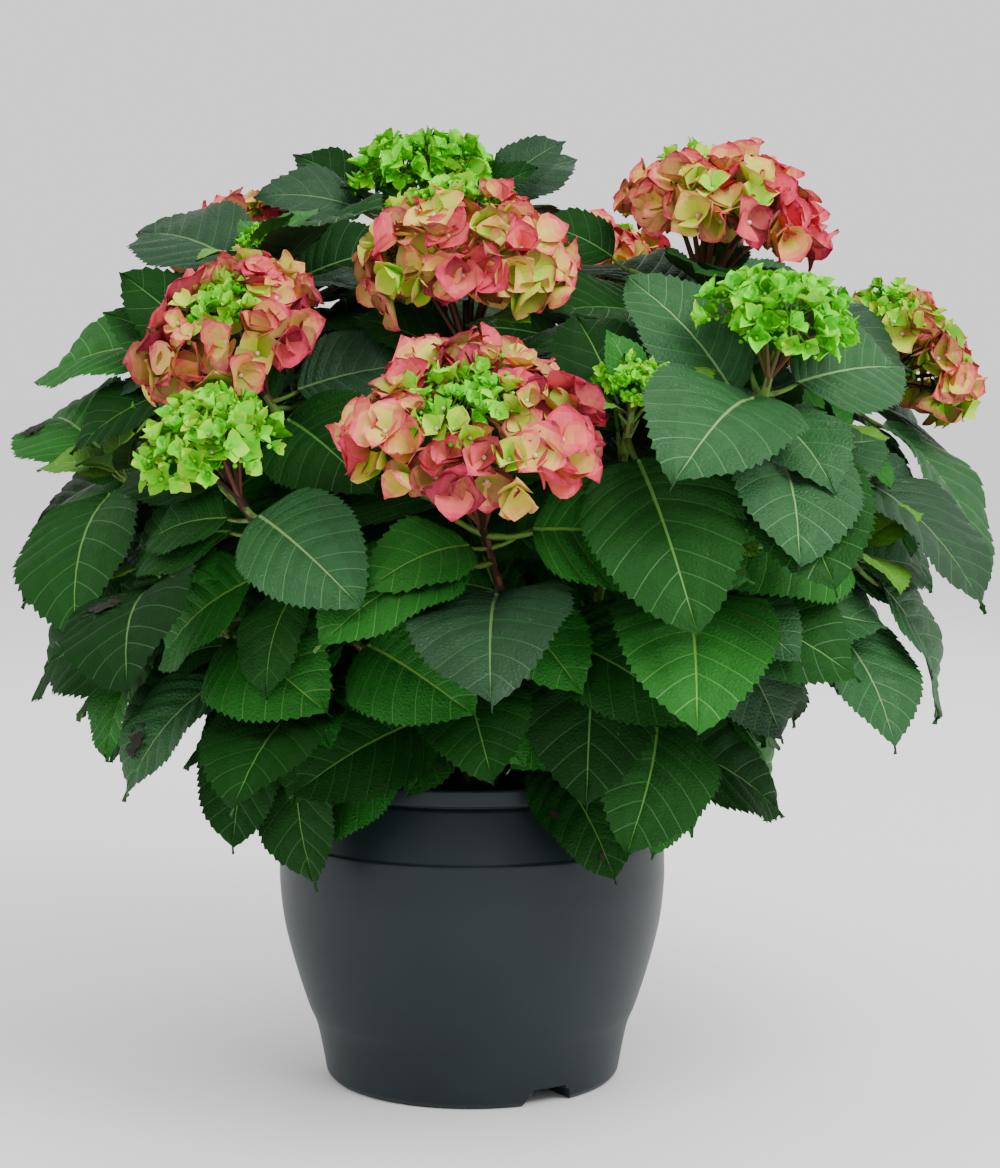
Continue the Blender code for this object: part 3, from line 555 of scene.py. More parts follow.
def place_leaf(plant, pair, side, root, stem, turn, lift, factor):
    """One leaf of a shoot, turned about the stem and lifted towards its tip."""
    shoot = plant.shoot
    keys = (plant.index, pair, side)
    posed_turn, posed_lift = POSED.get((shoot.name, pair, side), (0, 0))
    turn += posed_turn
    lift += posed_lift
    front = clamp((LIGHT_END_Y - root.y) / LIGHT_FADE)
    up = (stem + Vector((0.0, LIGHT_PULL.y * front, LIGHT_PULL.z))).normalized()
    out = heading(azimuth_of(shoot.place), 0.0)
    out = (out - up * out.dot(up)).normalized()
    around = shoot.phase + PAIR_TURN * pair + 180.0 * side + jitter(TURN_JITTER, *keys, 1) + turn
    flat = between(math.radians(around), out, up.cross(out))
    height = clamp((root.z - TOP_START) / TOP_DEPTH)
    rest = LEAF_TILT + TOP_TILT * height + TILT_PER_PAIR * pair
    ahead = between(math.radians(rest + jitter(TILT_JITTER, *keys, 2) + lift), flat, up)
    droop = DROOP + TOP_DROOP * height + DROOP_SPREAD * scatter(*keys, 3)
    length = LEAF_LENGTH * shoot.size * (1.0 + jitter(LENGTH_JITTER, *keys, 4)) * factor
    twist = up + TWIST_SPREAD * (scatter(*keys, 5) - 0.5) * ahead.cross(up)
    return Leaf(root, ahead, twist, droop, length)


class Plant:
    """One shoot with its path, where its green stem ends, its leaves and its twigs."""

    def __init__(self, index, shoot, normal):
        self.index = index
        self.shoot = shoot
        self.path = shoot_path(shoot, normal)
        self.total = sum((a - b).length for a, b in zip(self.path, self.path[1:]))
        self.tall = index < len(TALL_SHOOTS)
        self.split = self.total
        if self.tall:
            stem = pair_depth(shoot, shoot.pairs - 1) + STEM_BELOW_LAST_PAIR
            self.split = min(stem, self.total - SHORTEST_CANE)
        self.leaves = []
        self.twigs = []


class Crown:
    """All the shoots with the leaves that fit, and what a further leaf has to keep clear of."""

    def __init__(self):
        shoots = list(TALL_SHOOTS) + low_shoots()
        self.plants = [Plant(index, shoot, normal)
                       for index, (shoot, normal) in enumerate(zip(shoots, foot_normals(shoots)))]
        outer = [(r + GAP, z) for r, z in POT_WALL]
        pot = lathe([(0.0, SOIL_TOP), (SOIL_EDGE, SOIL_TOP)] + outer, POT_TEST_SIDES)
        self.solids = [(None, BVHTree.FromPolygons(*pot))]
        for plant in self.plants:
            self.solids.append((plant.index, BVHTree.FromPolygons(*path_shell(plant.path))))
            if plant.shoot.bloom:
                self.solids.append((plant.index, BVHTree.FromPolygons(*bloom_shell(plant.shoot))))
        self.placed = []
        for pair in range(max(shoot.pairs for shoot in shoots)):
            self.add_pair(pair)
        self.add_top()
        for pair, size in EXTRA_PAIRS:
            self.add_pair(pair, size)

    def touches(self, leaf, index, roomy):
        """True where a leaf would meet a limb, a bloom, the pot or another leaf."""
        if leaf.out_of_space():
            return True
        trees = leaf.trees(roomy)
        for owner, tree in self.solids:
            if trees[owner == index].overlap(tree):
                return True
        middle = leaf.rib(LEAF_MIDDLE)[0]
        for owner, other, others in self.placed:
            near = (other.rib(LEAF_MIDDLE)[0] - middle).length <= FAR_APART
            if near and trees[owner == index].overlap(others[owner == index]):
                return True
        return False

    def keep_first(self, plant, key, leaves, roomy=False):
        """Keeps the first of the leaves that touches nothing; True where there is one."""
        for leaf in leaves:
            if not self.touches(leaf, plant.index, roomy):
                self.placed.append((plant.index, leaf, leaf.trees()))
                plant.leaves.append((key, leaf))
                return True
        return False

    def add_pair(self, pair, size=None):
        """A pair of leaves on every shoot that has room; with a size they are of the finer twigs."""
        for plant in self.plants:
            depth = pair_depth(plant.shoot, pair)
            full = depth > plant.total - ROOT_ROOM if size else pair >= plant.shoot.pairs
            if full:
                continue
            node, stem = point_below(plant.path, depth)
            for side in (0, 1):
                root = node + stem * PAIR_OFFSET * (side - 0.5)
                leaves = (place_leaf(plant, pair, side, root, stem, turn, lift, (size or 1.0) * factor)
                          for turn, lift, factor in TRIES)
                leaves = (leaf for leaf in leaves if leaf.length > SHORTEST_LEAF)
                self.keep_first(plant, (pair, side), leaves, not size)

    def add_top(self):
        """Leaves on twigs that close the top of the crown between its flower heads."""
        named = {plant.shoot.name: plant for plant in self.plants}
        for number, (name, depth, way, reach, azimuth, elevation, length) in CROWN_TWIGS.items():
            plant = named[name]
            foot, stem = point_below(plant.path, depth)
            root = foot + heading(way, TWIG_RISE) * reach
            droop = 30.0 + 16.0 * scatter(number - FIRST_TWIG, 91)
            leaves = (Leaf(root, heading(azimuth + turn, elevation + lift), stem + CROWN_PULL, droop, length)
                      for turn, lift in CROWN_TRIES)
            if self.keep_first(plant, (number, 0), leaves) and reach:
                plant.twigs.append((foot, root))


# ---------------------------------------------------------------- colours and finishes
LeafTone = namedtuple("LeafTone", "blade beside vein midrib rough shine")
# Leaves from the darkest to the youngest: the colours of the blade, of the paler strips beside its
# veins, of the veins and of the midrib.
LEAF_TONES = (
    LeafTone((12, 46, 11), (14, 50, 13), (27, 70, 26), (70, 118, 50), 0.66, 0.08),
    LeafTone((16, 56, 14), (18, 60, 17), (34, 80, 30), (76, 124, 52), 0.66, 0.08),
    LeafTone((22, 67, 20), (25, 72, 23), (43, 96, 38), (88, 138, 56), 0.62, 0.10),
    LeafTone((34, 96, 30), (38, 102, 34), (66, 132, 52), (104, 156, 62), 0.58, 0.12),
    # The next two are painted sheen: paler blue-grey greens that stand in for the sky's reflection on leaves
    # in the light.
    LeafTone((32, 62, 37), (35, 67, 40), (54, 88, 54), (92, 124, 72), 0.54, 0.20),
    LeafTone((36, 80, 40), (40, 86, 44), (66, 114, 64), (116, 152, 92), 0.52, 0.20),
    LeafTone((80, 132, 36), (86, 138, 40), (116, 164, 66), (146, 184, 84), 0.56, 0.16),
)
DEEP, DARK, MID, FRESH, GREY_SHEEN, BLUE_SHEEN, YOUNG = range(len(LEAF_TONES))
UNDER_TONES = ((52, 82, 44), (74, 112, 52))
SPOT_TONE = (40, 38, 30)

# Sepals ripen from green through lime, cream and salmon to deep rose: the stage and its colour.
SEPAL_STAGES = ((0, (46, 150, 2)), (2, (112, 230, 6)), (4, (178, 220, 44)), (6, (216, 194, 92)),
                (8, (226, 148, 98)), (10, (220, 96, 96)), (12, (200, 52, 84)), (14, (132, 18, 42)))
PAINTED_SHADE_VALUE = 0.74                     # display value of a sepal with painted shade against a bright one
STAGE_STEPS = 2                 # tones for each stage
BEAD_TONES = ((226, 190, 184), (118, 190, 40))
STALK_TONES = ((92, 134, 50), (92, 84, 48), (98, 56, 42), (46, 30, 24))
BARK_TONES = ((34, 26, 21), (50, 39, 30), (70, 56, 42), (92, 77, 60))
SOIL_TONES = ((26, 19, 14), (40, 29, 20), (60, 43, 29), (98, 72, 48), (140, 112, 80))
POT_TONES = ((15, 26, 30), (21, 33, 38))

ROUGH_SCALE = 0.35              # of the roughness's pattern against the relief's
RELIEF = 0.8                    # strength of the relief
SHINE = 0.25
SEPAL_SHINE = 0.14
POT_SHINE = 0.29
ROUGH_SPREAD = (-0.08, 0.10)    # of the roughness, over its pattern
POT_ROUGH = (0.36, 0.52)


def linear(red, green, blue):
    """A colour given as 0 to 255 display values, as linear light."""
    return (*(((v / 255 + 0.055) / 1.055)**2.4 if v > 10 else v / 255 / 12.92
              for v in (red, green, blue)), 1.0)


class Look:
    """A material and its nodes: textures on the object's own coordinates, roughness and relief."""

    def __init__(self, name, shine):
        self.made = bpy.data.materials.new(name)
        self.made.use_nodes = True
        self.tree = self.made.node_tree
        self.shader = self.tree.nodes["Principled BSDF"]
        self.shader.inputs["Specular IOR Level"].default_value = shine
        self.place = self.node("TexCoord").outputs["Object"]

    def node(self, kind, **values):
        made = self.tree.nodes.new("ShaderNode" + kind)
        for name, value in values.items():
            made.inputs[name.replace("_", " ")].default_value = value
        return made

    def texture(self, kind, **values):
        made = self.node(kind, **values)
        self.tree.links.new(self.place, made.inputs["Vector"])
        return made

    def roughness(self, value, **limits):
        spread = self.node("MapRange", **limits)
        self.tree.links.new(value, spread.inputs["Value"])
        self.tree.links.new(spread.outputs["Result"], self.shader.inputs["Roughness"])

    def relief(self, height, strength, depth):
        raised = self.node("Bump", Strength=strength, Distance=depth)
        self.tree.links.new(height, raised.inputs["Height"])
        self.tree.links.new(raised.outputs["Normal"], self.shader.inputs["Normal"])


def finish(name, tone, rough, bump, size, cells=False, shine=SHINE):
    """A plain colour with its roughness and relief from a pattern of the given size in metres."""
    look = Look(name, shine)
    look.shader.inputs["Base Color"].default_value = linear(*tone)
    noise = look.texture("TexNoise", Scale=ROUGH_SCALE / size, Detail=4.0)
    low, high = ROUGH_SPREAD
    look.roughness(noise.outputs["Fac"], From_Min=0.3, From_Max=0.7, To_Min=rough + low, To_Max=rough + high)
    if cells:
        pattern = look.texture("TexVoronoi")
        pattern.feature = "DISTANCE_TO_EDGE"
        pattern.inputs["Scale"].default_value = 1.0 / size
    else:
        pattern = look.texture("TexNoise", Scale=1.0 / size, Detail=6.0)
    look.relief(pattern.outputs["Distance" if cells else "Fac"], RELIEF, bump)
    return look.made


def finishes(name, tones, *settings, **more):
    """One finish for each tone."""
    digits = len(str(len(tones) - 1))
    return [finish(f"{name}_{i:0{digits}d}", tone, *settings, **more) for i, tone in enumerate(tones)]


def pot_finish():
    """Slate-grey moulded plastic: faint dust and scuffs, fine grain."""
    look = Look("pot_plastic", POT_SHINE)
    broad = look.texture("TexNoise", Scale=11.0, Detail=5.0).outputs["Fac"]
    tint = look.node("ValToRGB")
    for element, position, tone in zip(tint.color_ramp.elements, (0.32, 0.72), POT_TONES):
        element.position = position
        element.color = linear(*tone)
    look.tree.links.new(broad, tint.inputs["Fac"])
    look.tree.links.new(tint.outputs["Color"], look.shader.inputs["Base Color"])
    look.roughness(broad, To_Min=POT_ROUGH[0], To_Max=POT_ROUGH[1])
    look.relief(look.texture("TexNoise", Scale=900.0, Detail=2.0).outputs["Fac"], 0.5, 0.0002)
    return look.made


def ripening():
    """The sepals' tones, evenly between the stages."""
    tones = []
    for (first, start), (last, end) in zip(SEPAL_STAGES, SEPAL_STAGES[1:]):
        count = (last - first) * STAGE_STEPS
        for i in range(count):
            tones.append(tuple(a + (b - a) * i / count for a, b in zip(start, end)))
    return tones + [SEPAL_STAGES[-1][1]]


BRIGHT_TONES = ripening()
# The sepal tones, then darker copies of every second one: painted shade for florets that stand in the
# shadows of a head.
SEPAL_TONES = BRIGHT_TONES + [tuple(PAINTED_SHADE_VALUE * v for v in tone) for tone in BRIGHT_TONES[::STAGE_STEPS]]

# Each of the leaves' parts has a finish for each tone, then come the undersides and the spots.
# After the tones each has its roughness, its relief's height and the size of its pattern.
BLADE, BESIDE, VEIN, MIDRIB, UNDER = range(5)
UNDER_SLOT = UNDER * len(LEAF_TONES)
SPOT_SLOT = UNDER_SLOT + len(UNDER_TONES)
LEAF_FINISHES = [finish(f"{name}_{i}", tone[part], tone.rough, 0.0013, 0.0030, True, tone.shine)
                 for part, name in ((BLADE, "blade"), (BESIDE, "beside_vein"))
                 for i, tone in enumerate(LEAF_TONES)]
for part, name in ((VEIN, "vein"), (MIDRIB, "midrib")):
    LEAF_FINISHES += finishes(name, [tone[part] for tone in LEAF_TONES], 0.45, 0.0002, 0.003)
LEAF_FINISHES += finishes("underside", UNDER_TONES, 0.62, 0.0004, 0.0028, cells=True)
LEAF_FINISHES.append(finish("leaf_spot", SPOT_TONE, 0.8, 0.0003, 0.002))
BLOOM_FINISHES = finishes("sepal", SEPAL_TONES, 0.52, 0.0004, 0.003, shine=SEPAL_SHINE)
BLOOM_FINISHES += finishes("bead", BEAD_TONES, 0.35, 0.0002, 0.002)
STALK_FINISHES = finishes("stalk", STALK_TONES, 0.5, 0.0003, 0.003)
BARK_FINISHES = finishes("bark", BARK_TONES, 0.85, 0.0012, 0.0035)
SOIL_FINISHES = finishes("soil", SOIL_TONES, 0.92, 0.0012, 0.003)
BEAD_SLOT = len(SEPAL_TONES)


# ---------------------------------------------------------------- pieces
MOST_TRIANGLES = 185000         # of one mesh


def add_object(name, data):
    made = bpy.data.objects.new(name, data)
    bpy.context.scene.collection.objects.link(made)
    return made


def new_mesh(name, verts, faces):
    mesh = bpy.data.meshes.new(name)
    mesh.from_pydata(verts, [], faces)
    return mesh


def place_piece(mesh, name, slot, nodes):
    obj = add_object(name, mesh)
    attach(obj, "root")
    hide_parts(*nodes)


class Piece:
    """Many small things joined into meshes that stay under the limit of triangles."""

    def __init__(self, name, finishes, slot, nodes):
        self.name = name
        self.finishes = finishes
        self.slot = slot
        self.nodes = nodes
        self.made = 0
        self.clear()

    def clear(self):
        self.verts = []
        self.faces = []
        self.slots = []
        self.count = 0
        self.triangles = 0

    def add(self, verts, faces, slots):
        """verts as points, faces as tuples of their numbers, slots one for each face."""
        triangles = sum(len(face) - 2 for face in faces)
        if self.triangles + triangles > MOST_TRIANGLES:
            self.build()
        self.verts.append(np.asarray(verts, float))
        self.faces += [tuple(i + self.count for i in face) for face in faces]
        self.slots += slots
        self.count += len(verts)
        self.triangles += triangles

    def build(self):
        name = self.name if self.made == 0 else f"{self.name}_{self.made}"
        mesh = new_mesh(name, np.concatenate(self.verts).tolist(), self.faces)
        for made in self.finishes:
            mesh.materials.append(made)
        mesh.polygons.foreach_set("material_index", self.slots)
        mesh.polygons.foreach_set("use_smooth", [True] * len(self.faces))
        mesh.update()
        place_piece(mesh, name, self.slot, self.nodes)
        self.made += 1
        self.clear()


# ---------------------------------------------------------------- leaves
VEIN_HALF_AT_RIB = 0.0034       # of the blade's length
VEIN_HALF_AT_EDGE = 0.0019
QUILT_WIDTH = 0.012             # the blade rises from a vein over this share of its length
QUILT_POWER = 1.3
QUILT_RISE = 0.0030             # between the veins of a full-sized leaf
QUILT_START = 5.0               # how soon it begins outwards from the midrib
QUILT_FADE = 0.55               # less at the margin
WAVE = 0.0030                   # of a full-sized leaf's margin
WAVE_COUNT = 2.1                # over the blade's length
WAVE_POWER = 2.2                # how much it keeps to the margin
WAVE_SHIFT = 1.7                # between the two halves, radians
FOLD_EASE = 0.30                # the fold flattens towards the margin
VEIN_BEND = 0.28                # how much the side veins curve forwards
COLUMNS = (0.0, 0.0, 0.30, 0.58, 0.82, 1.0)     # the second is set by the midrib's width
CENTRE = len(COLUMNS) - 1
ACROSS = 2 * len(COLUMNS) - 1
UNDER_COLUMNS = (0, 1, 3, 4, 6, 7, 9, 10)       # columns of the upper face that the underside keeps
MIDRIB_HALF = 0.00115
MIDRIB_TAPER = 1.15             # the midrib's width at its foot against MIDRIB_HALF
MOST_MIDRIB = 0.3               # of the blade's half width
TIP_WIDTH = 0.016               # of the drawn-out tip, and the share of the blade it narrows over
TIP_LENGTH = 0.12
BASE_LENGTH = 0.004             # the blade widens over this share of its length from its foot
BASE_WIDTH = 0.15
MARGIN_HALF_THICK = 0.0003      # of the blade, and what it has more at the midrib
MIDRIB_THICK = 0.0002
TEETH_START = 0.05              # share of the margin with no teeth, and where they end
TEETH_END = 0.985
TOOTH_DEPTH = 0.0165            # of the blade's length
TOOTH_SPREAD = 0.006
TOOTH_LEAN = 0.35               # forwards, of its depth
TOOTH_FADE = 7.0                # how fast the teeth shrink towards TOOTH_END
TOOTH_END = 0.975
TOOTH_QUILT = 0.3
SPOT_KEY = 71
SPOT_SIDES = 7
SPOT_LIFT = 0.0009
PATCH_ALONG = 0.12              # half a patch's length and width, as shares of the blade's
PATCH_ACROSS = 0.32


class Pattern:
    """The grid of a blade: rows that follow the side veins, columns out from the midrib."""

    def __init__(self, teeth, veins, depth):
        rows = [(0.0, 0.0, False)]
        for i in range(1, teeth):
            m = i / teeth
            if i in veins:
                rows += [(m - VEIN_HALF_AT_EDGE, m * m - VEIN_HALF_AT_RIB, True),
                         (m + VEIN_HALF_AT_EDGE, m * m + VEIN_HALF_AT_RIB, False)]
            else:
                rows.append((m, m * m, False))
        rows.append((1.0, 1.0, False))
        self.margin = np.array([row[0] for row in rows])
        self.foot = np.array([row[1] for row in rows])
        vein = [row[2] for row in rows]
        far = np.abs(self.margin[:, None] - np.array([i / teeth for i in veins])[None, :]).min(axis=1)
        self.quilt = 1.0 - np.exp(-(far / QUILT_WIDTH)**QUILT_POWER)
        self.tooth_depth = depth
        self.teeth = [(row, sign) for row in range(len(rows) - 1) for sign in (-1, 1)
                      if not vein[row] and self.margin[row] >= TEETH_START
                      and self.margin[row + 1] <= TEETH_END]
        self.faces = (grid_faces(len(rows), ACROSS, False, True)
                      + grid_faces(len(rows), len(UNDER_COLUMNS), False, first=len(rows) * ACROSS))
        self.parts = []
        for row in range(len(rows) - 1):
            beside = vein[row + 1] or (row and vein[row - 1])
            for column in range(ACROSS - 1):
                out = max(abs(column - CENTRE), abs(column + 1 - CENTRE))
                self.parts.append(MIDRIB if out == 1 else VEIN if vein[row]
                                  else BESIDE if beside and out < 4 else BLADE)
        for row in range(len(rows) - 1):
            self.parts += [MIDRIB if column == 3 else VEIN if vein[row] else UNDER
                           for column in range(len(UNDER_COLUMNS) - 1)]


FULL = Pattern(27, (5, 8, 11, 14, 17, 20, 22, 24), 1.0)
PLAIN = Pattern(13, (3, 5, 7, 9, 11), 1.5)


def outline(t):
    """Half width of the blade against its length, with the drawn-out tip."""
    tip = TIP_WIDTH * np.clip((1.0 - t) / TIP_LENGTH, 0.0, 1.0)
    return np.maximum(egg(t), tip) * np.clip(t / BASE_LENGTH, BASE_WIDTH, 1.0)


def blade_points(leaf, t, width, reach, rows, seed):
    """Points of a leaf's upper face: t along the rib, width to the side, reach 0 to 1 of the way
    to the margin, rows the quilting's height there."""
    along, up, slope = leaf.arc(t)
    ahead = np.array(leaf.ahead)
    face = np.array(leaf.face)
    size = leaf.length / LEAF_LENGTH
    phase = 2 * math.pi * (WAVE_COUNT * t + scatter(seed, 11)) + np.sign(width) * WAVE_SHIFT
    wave = WAVE * size * reach**WAVE_POWER * np.sin(phase)
    lift = np.abs(width) * math.sin(LEAF_FOLD) * (1.0 - FOLD_EASE * reach)
    start = np.clip(reach * QUILT_START, 0.0, 1.0)
    high = lift + wave + QUILT_RISE * size * rows * start * (1.0 - QUILT_FADE * reach)
    normal = np.cos(slope)[..., None] * face - np.sin(slope)[..., None] * ahead
    middle = np.array(leaf.base) + leaf.length * (along[..., None] * ahead + up[..., None] * face)
    side = (width * math.cos(LEAF_FOLD))[..., None] * np.array(leaf.side)
    return middle + side + high[..., None] * normal, normal


def spot_places(seed, count, patch=None):
    """Brown spots as (share along, share across, radius): scattered, or crowded round a patch."""
    spots = []
    for number in range(count):
        keys = (seed, number, SPOT_KEY)
        if patch:
            turn = math.tau * scatter(*keys)
            far = scatter(*keys, 3)
            along = patch[0] + PATCH_ALONG * far * math.cos(turn)
            across = patch[1] + PATCH_ACROSS * far * math.sin(turn)
            radius = 0.0009 + 0.0040 * scatter(*keys, 5) * (1.05 - far)**1.5
        else:
            along = 0.25 + 0.6 * scatter(*keys)
            across = jitter(0.8, *keys, 3)
            radius = 0.0012 + 0.0034 * scatter(*keys, 5)
        spots.append((along, across, radius))
    return spots


def blade_sides(leaf, pattern, seed):
    """Points of the blade's upper and under side."""
    margin = pattern.margin[:, None]
    foot = pattern.foot[:, None]
    wide = outline(pattern.margin) * leaf.length
    midrib = MIDRIB_HALF * (MIDRIB_TAPER - pattern.foot) * leaf.length / LEAF_LENGTH
    right = np.repeat([COLUMNS], len(wide), axis=0)
    right[:, 1] = np.minimum(midrib, wide * MOST_MIDRIB) / np.maximum(wide, 1e-6)
    signed = np.concatenate([-right[:, :0:-1], right], axis=1)
    reach = np.abs(signed)
    t = foot + (margin - foot) * ((1.0 - VEIN_BEND) * reach + VEIN_BEND * reach**2)
    rows = np.repeat(pattern.quilt[:, None], ACROSS, axis=1)
    top, normal = blade_points(leaf, t, signed * wide[:, None], reach, rows, seed)
    half_thick = MARGIN_HALF_THICK * (1.0 - reach**6)
    upper = top + normal * half_thick[..., None]
    lower = top - normal * (half_thick + MIDRIB_THICK * (1.0 - reach))[..., None]
    return [upper.reshape(-1, 3), lower[:, UNDER_COLUMNS].reshape(-1, 3)]


def tooth_points(leaf, pattern, seed):
    """The points of the teeth, which stand out less towards the blade's tip."""
    along = []
    width = []
    for row, sign in pattern.teeth:
        m = 0.2 * pattern.margin[row] + 0.8 * pattern.margin[row + 1]
        deep = (TOOTH_DEPTH + TOOTH_SPREAD * scatter(seed, row, sign)) * pattern.tooth_depth
        deep *= clamp(TOOTH_FADE * (TOOTH_END - m))
        along.append(m + TOOTH_LEAN * deep)
        width.append(sign * (outline(np.array(m)) + deep) * leaf.length)
    flat = np.ones(len(along))
    return blade_points(leaf, np.array(along), np.array(width), flat, flat * TOOTH_QUILT, seed)[0]


def add_leaf(piece, leaf, tone, seed, pattern, spots=()):
    """Both faces of one blade, its veins, its teeth and its spots."""
    verts = blade_sides(leaf, pattern, seed)
    verts.append(tooth_points(leaf, pattern, seed))
    under = UNDER_SLOT + (tone in (FRESH, YOUNG))
    faces = list(pattern.faces)
    slots = [under if part == UNDER else part * len(LEAF_TONES) + tone for part in pattern.parts]
    first = len(verts[0]) + len(verts[1])
    for number, (row, sign) in enumerate(pattern.teeth):
        a = row * ACROSS + (ACROSS - 1 if sign > 0 else 0)
        b = a + ACROSS
        tip = first + number
        faces.append((a, b, tip) if sign > 0 else (a, tip, b))
        slots.append(tone)
    first += len(pattern.teeth)
    for number, (along, across, radius) in enumerate(spots):
        turns = np.linspace(0.0, math.tau, SPOT_SIDES + 1)[:-1]
        uneven = [0.7 + 0.6 * scatter(seed, number, SPOT_KEY, int(9 * turn)) for turn in turns]
        radii = radius * np.array(uneven)
        middle = across * outline(np.array(along)) * leaf.length
        spot_t = np.append(along + radii * np.cos(turns) / leaf.length, along)
        spot_width = np.append(middle + radii * np.sin(turns), middle)
        flat = np.ones(SPOT_SIDES + 1)
        points, ups = blade_points(leaf, spot_t, spot_width, flat * abs(across), flat, seed)
        verts.append(points + ups * SPOT_LIFT)
        faces += [(first + i, first + (i + 1) % SPOT_SIDES, first + SPOT_SIDES) for i in range(SPOT_SIDES)]
        slots += [SPOT_SLOT] * SPOT_SIDES
        first += SPOT_SIDES + 1
    piece.add(np.concatenate(verts), faces, slots)


def add_tube(piece, points, radii, sides, slots, closed_tip=True, ridges=0.0, seed=0):
    """A limb through points; slots gives one finish for each face of a ring, or one for all."""
    verts = []
    points = [Vector(p) for p in points]
    across = None
    for index, (point, radius) in enumerate(zip(points, radii)):
        ahead = (points[min(index + 1, len(points) - 1)] - points[max(index - 1, 0)]).normalized()
        across = across or ahead.cross(SKEW).normalized()
        across = (across - ahead * across.dot(ahead)).normalized()
        swells = [1.0 + ridges * (scatter(side, seed, 1) - 0.5)
                  + 0.6 * ridges * (scatter(side, index, seed) - 0.5) for side in range(sides)]
        verts += circle(point, [radius * swell for swell in swells], across, ahead.cross(across))
    faces = grid_faces(len(points), sides)
    given = [slots(*divmod(i, sides)) if callable(slots) else slots for i in range(len(faces))]
    if closed_tip:
        faces.append(tuple(range((len(points) - 1) * sides, len(points) * sides)))
        faces.append(tuple(reversed(range(sides))))
        given += [given[-1], given[0]]
    piece.add(verts, faces, given)


def add_ball(piece, place, radius, slot, stretch=1.0, axis=Vector((0.0, 0.0, 1.0))):
    """A small bead of 20 faces."""
    across = axis.orthogonal().normalized()
    other = axis.cross(across)
    verts = [place + radius * stretch * axis]
    for row, height in enumerate((0.45, -0.45)):
        flat = math.sqrt(1.0 - height * height)
        for i in range(5):
            out = flat * between(math.tau * (i + 0.5 * row) / 5, across, other)
            verts.append(place + radius * (out + height * stretch * axis))
    verts.append(place - radius * stretch * axis)
    faces = []
    for i in range(5):
        j = (i + 1) % 5
        faces += [(0, 1 + i, 1 + j), (1 + i, 6 + i, 1 + j), (1 + j, 6 + i, 6 + j), (11, 6 + j, 6 + i)]
    piece.add(verts, faces, [slot] * len(faces))


# ---------------------------------------------------------------- flower heads
SEPAL_RISE = 0.66               # powers of a sepal's outline from its root and from its point
SEPAL_FALL = 1.00
SEPAL_WIDEST = SEPAL_RISE / (SEPAL_RISE + SEPAL_FALL)
SEPAL_PEAK = SEPAL_WIDEST**SEPAL_RISE * (1.0 - SEPAL_WIDEST)**SEPAL_FALL
FULL_SEPAL = 0.0240
GREEN_SEPAL = 0.0120
LARGE_SEPAL = 0.016             # sepals from this length on have the finer grid
BIG_FLORET = 0.015              # florets over this size lie deeper in the head
BUD_SEPAL = 0.0042              # at least, or this share of the bud's radius
BUD_SHARE = 0.26
CUP_ALONG = 0.42                # rise of a cupped sepal along it and at its sides
CUP_ACROSS = 0.46
BEND_DROP = 0.40                # of a bent sepal's point, and how late it bends
BEND_POWER = 2.4
BEND_SHORTENING = 0.10
RIPPLE = 0.06
STAGE_JITTER = 0.55             # of the ripening, from face to face

SEPALS = 4
CLOSED_TILT = 0.85              # how far the sepals of a closed floret stand up, radians
INNER_LENGTH = 0.9              # of the inner pair of sepals against the outer
INNER_ROOT = 0.0016             # height of the roots over the floret's middle
OUTER_ROOT = 0.0006
ROOT_REACH = 0.0008             # and their distance from it
SMALL_BREADTH = 0.86            # of sepals against their length
LARGE_BREADTH = 1.12
MEAN_CUP = 0.50
LEAST_BEND = 0.10               # of a closed floret's sepals, and what an open one's have more
OPEN_BEND = 0.45
BEAD_RISE = 0.0028
BEAD_RADIUS = 0.0013
BEAD_GROWTH = 0.028             # of its radius with the sepals' length
GREEN_BEAD = 2.5                # florets under this stage have a green bead


class SepalGrid:
    """Grid of a sepal: along it and across it, its outline, and how near each face is to its edge."""

    def __init__(self, along, across, edges):
        self.v = np.array(along)[:, None] * np.ones((1, len(across)))
        self.u = np.array(across)[None, :] * np.ones((len(along), 1))
        self.outline = np.maximum(self.v**SEPAL_RISE * (1.0 - self.v)**SEPAL_FALL / SEPAL_PEAK,
                                  0.12 * (1.0 - self.v))
        self.faces = grid_faces(len(along), len(across), False)
        self.blush = [max(1.25 * far**3.0, edge * far**0.9)
                      for far in [(a + b) / 2 for a, b in zip(along, along[1:])] for edge in edges]


LARGE = SepalGrid((0.0, 0.14, 0.34, 0.55, 0.74, 0.89, 1.0), (-1.0, -0.78, -0.40, 0.0, 0.40, 0.78, 1.0),
                  (1.0, 0.42, 0.08, 0.08, 0.42, 1.0))
SMALL = SepalGrid((0.0, 0.25, 0.5, 0.78, 1.0), (-1.0, -0.5, 0.0, 0.5, 1.0), (0.9, 0.2, 0.2, 0.9))


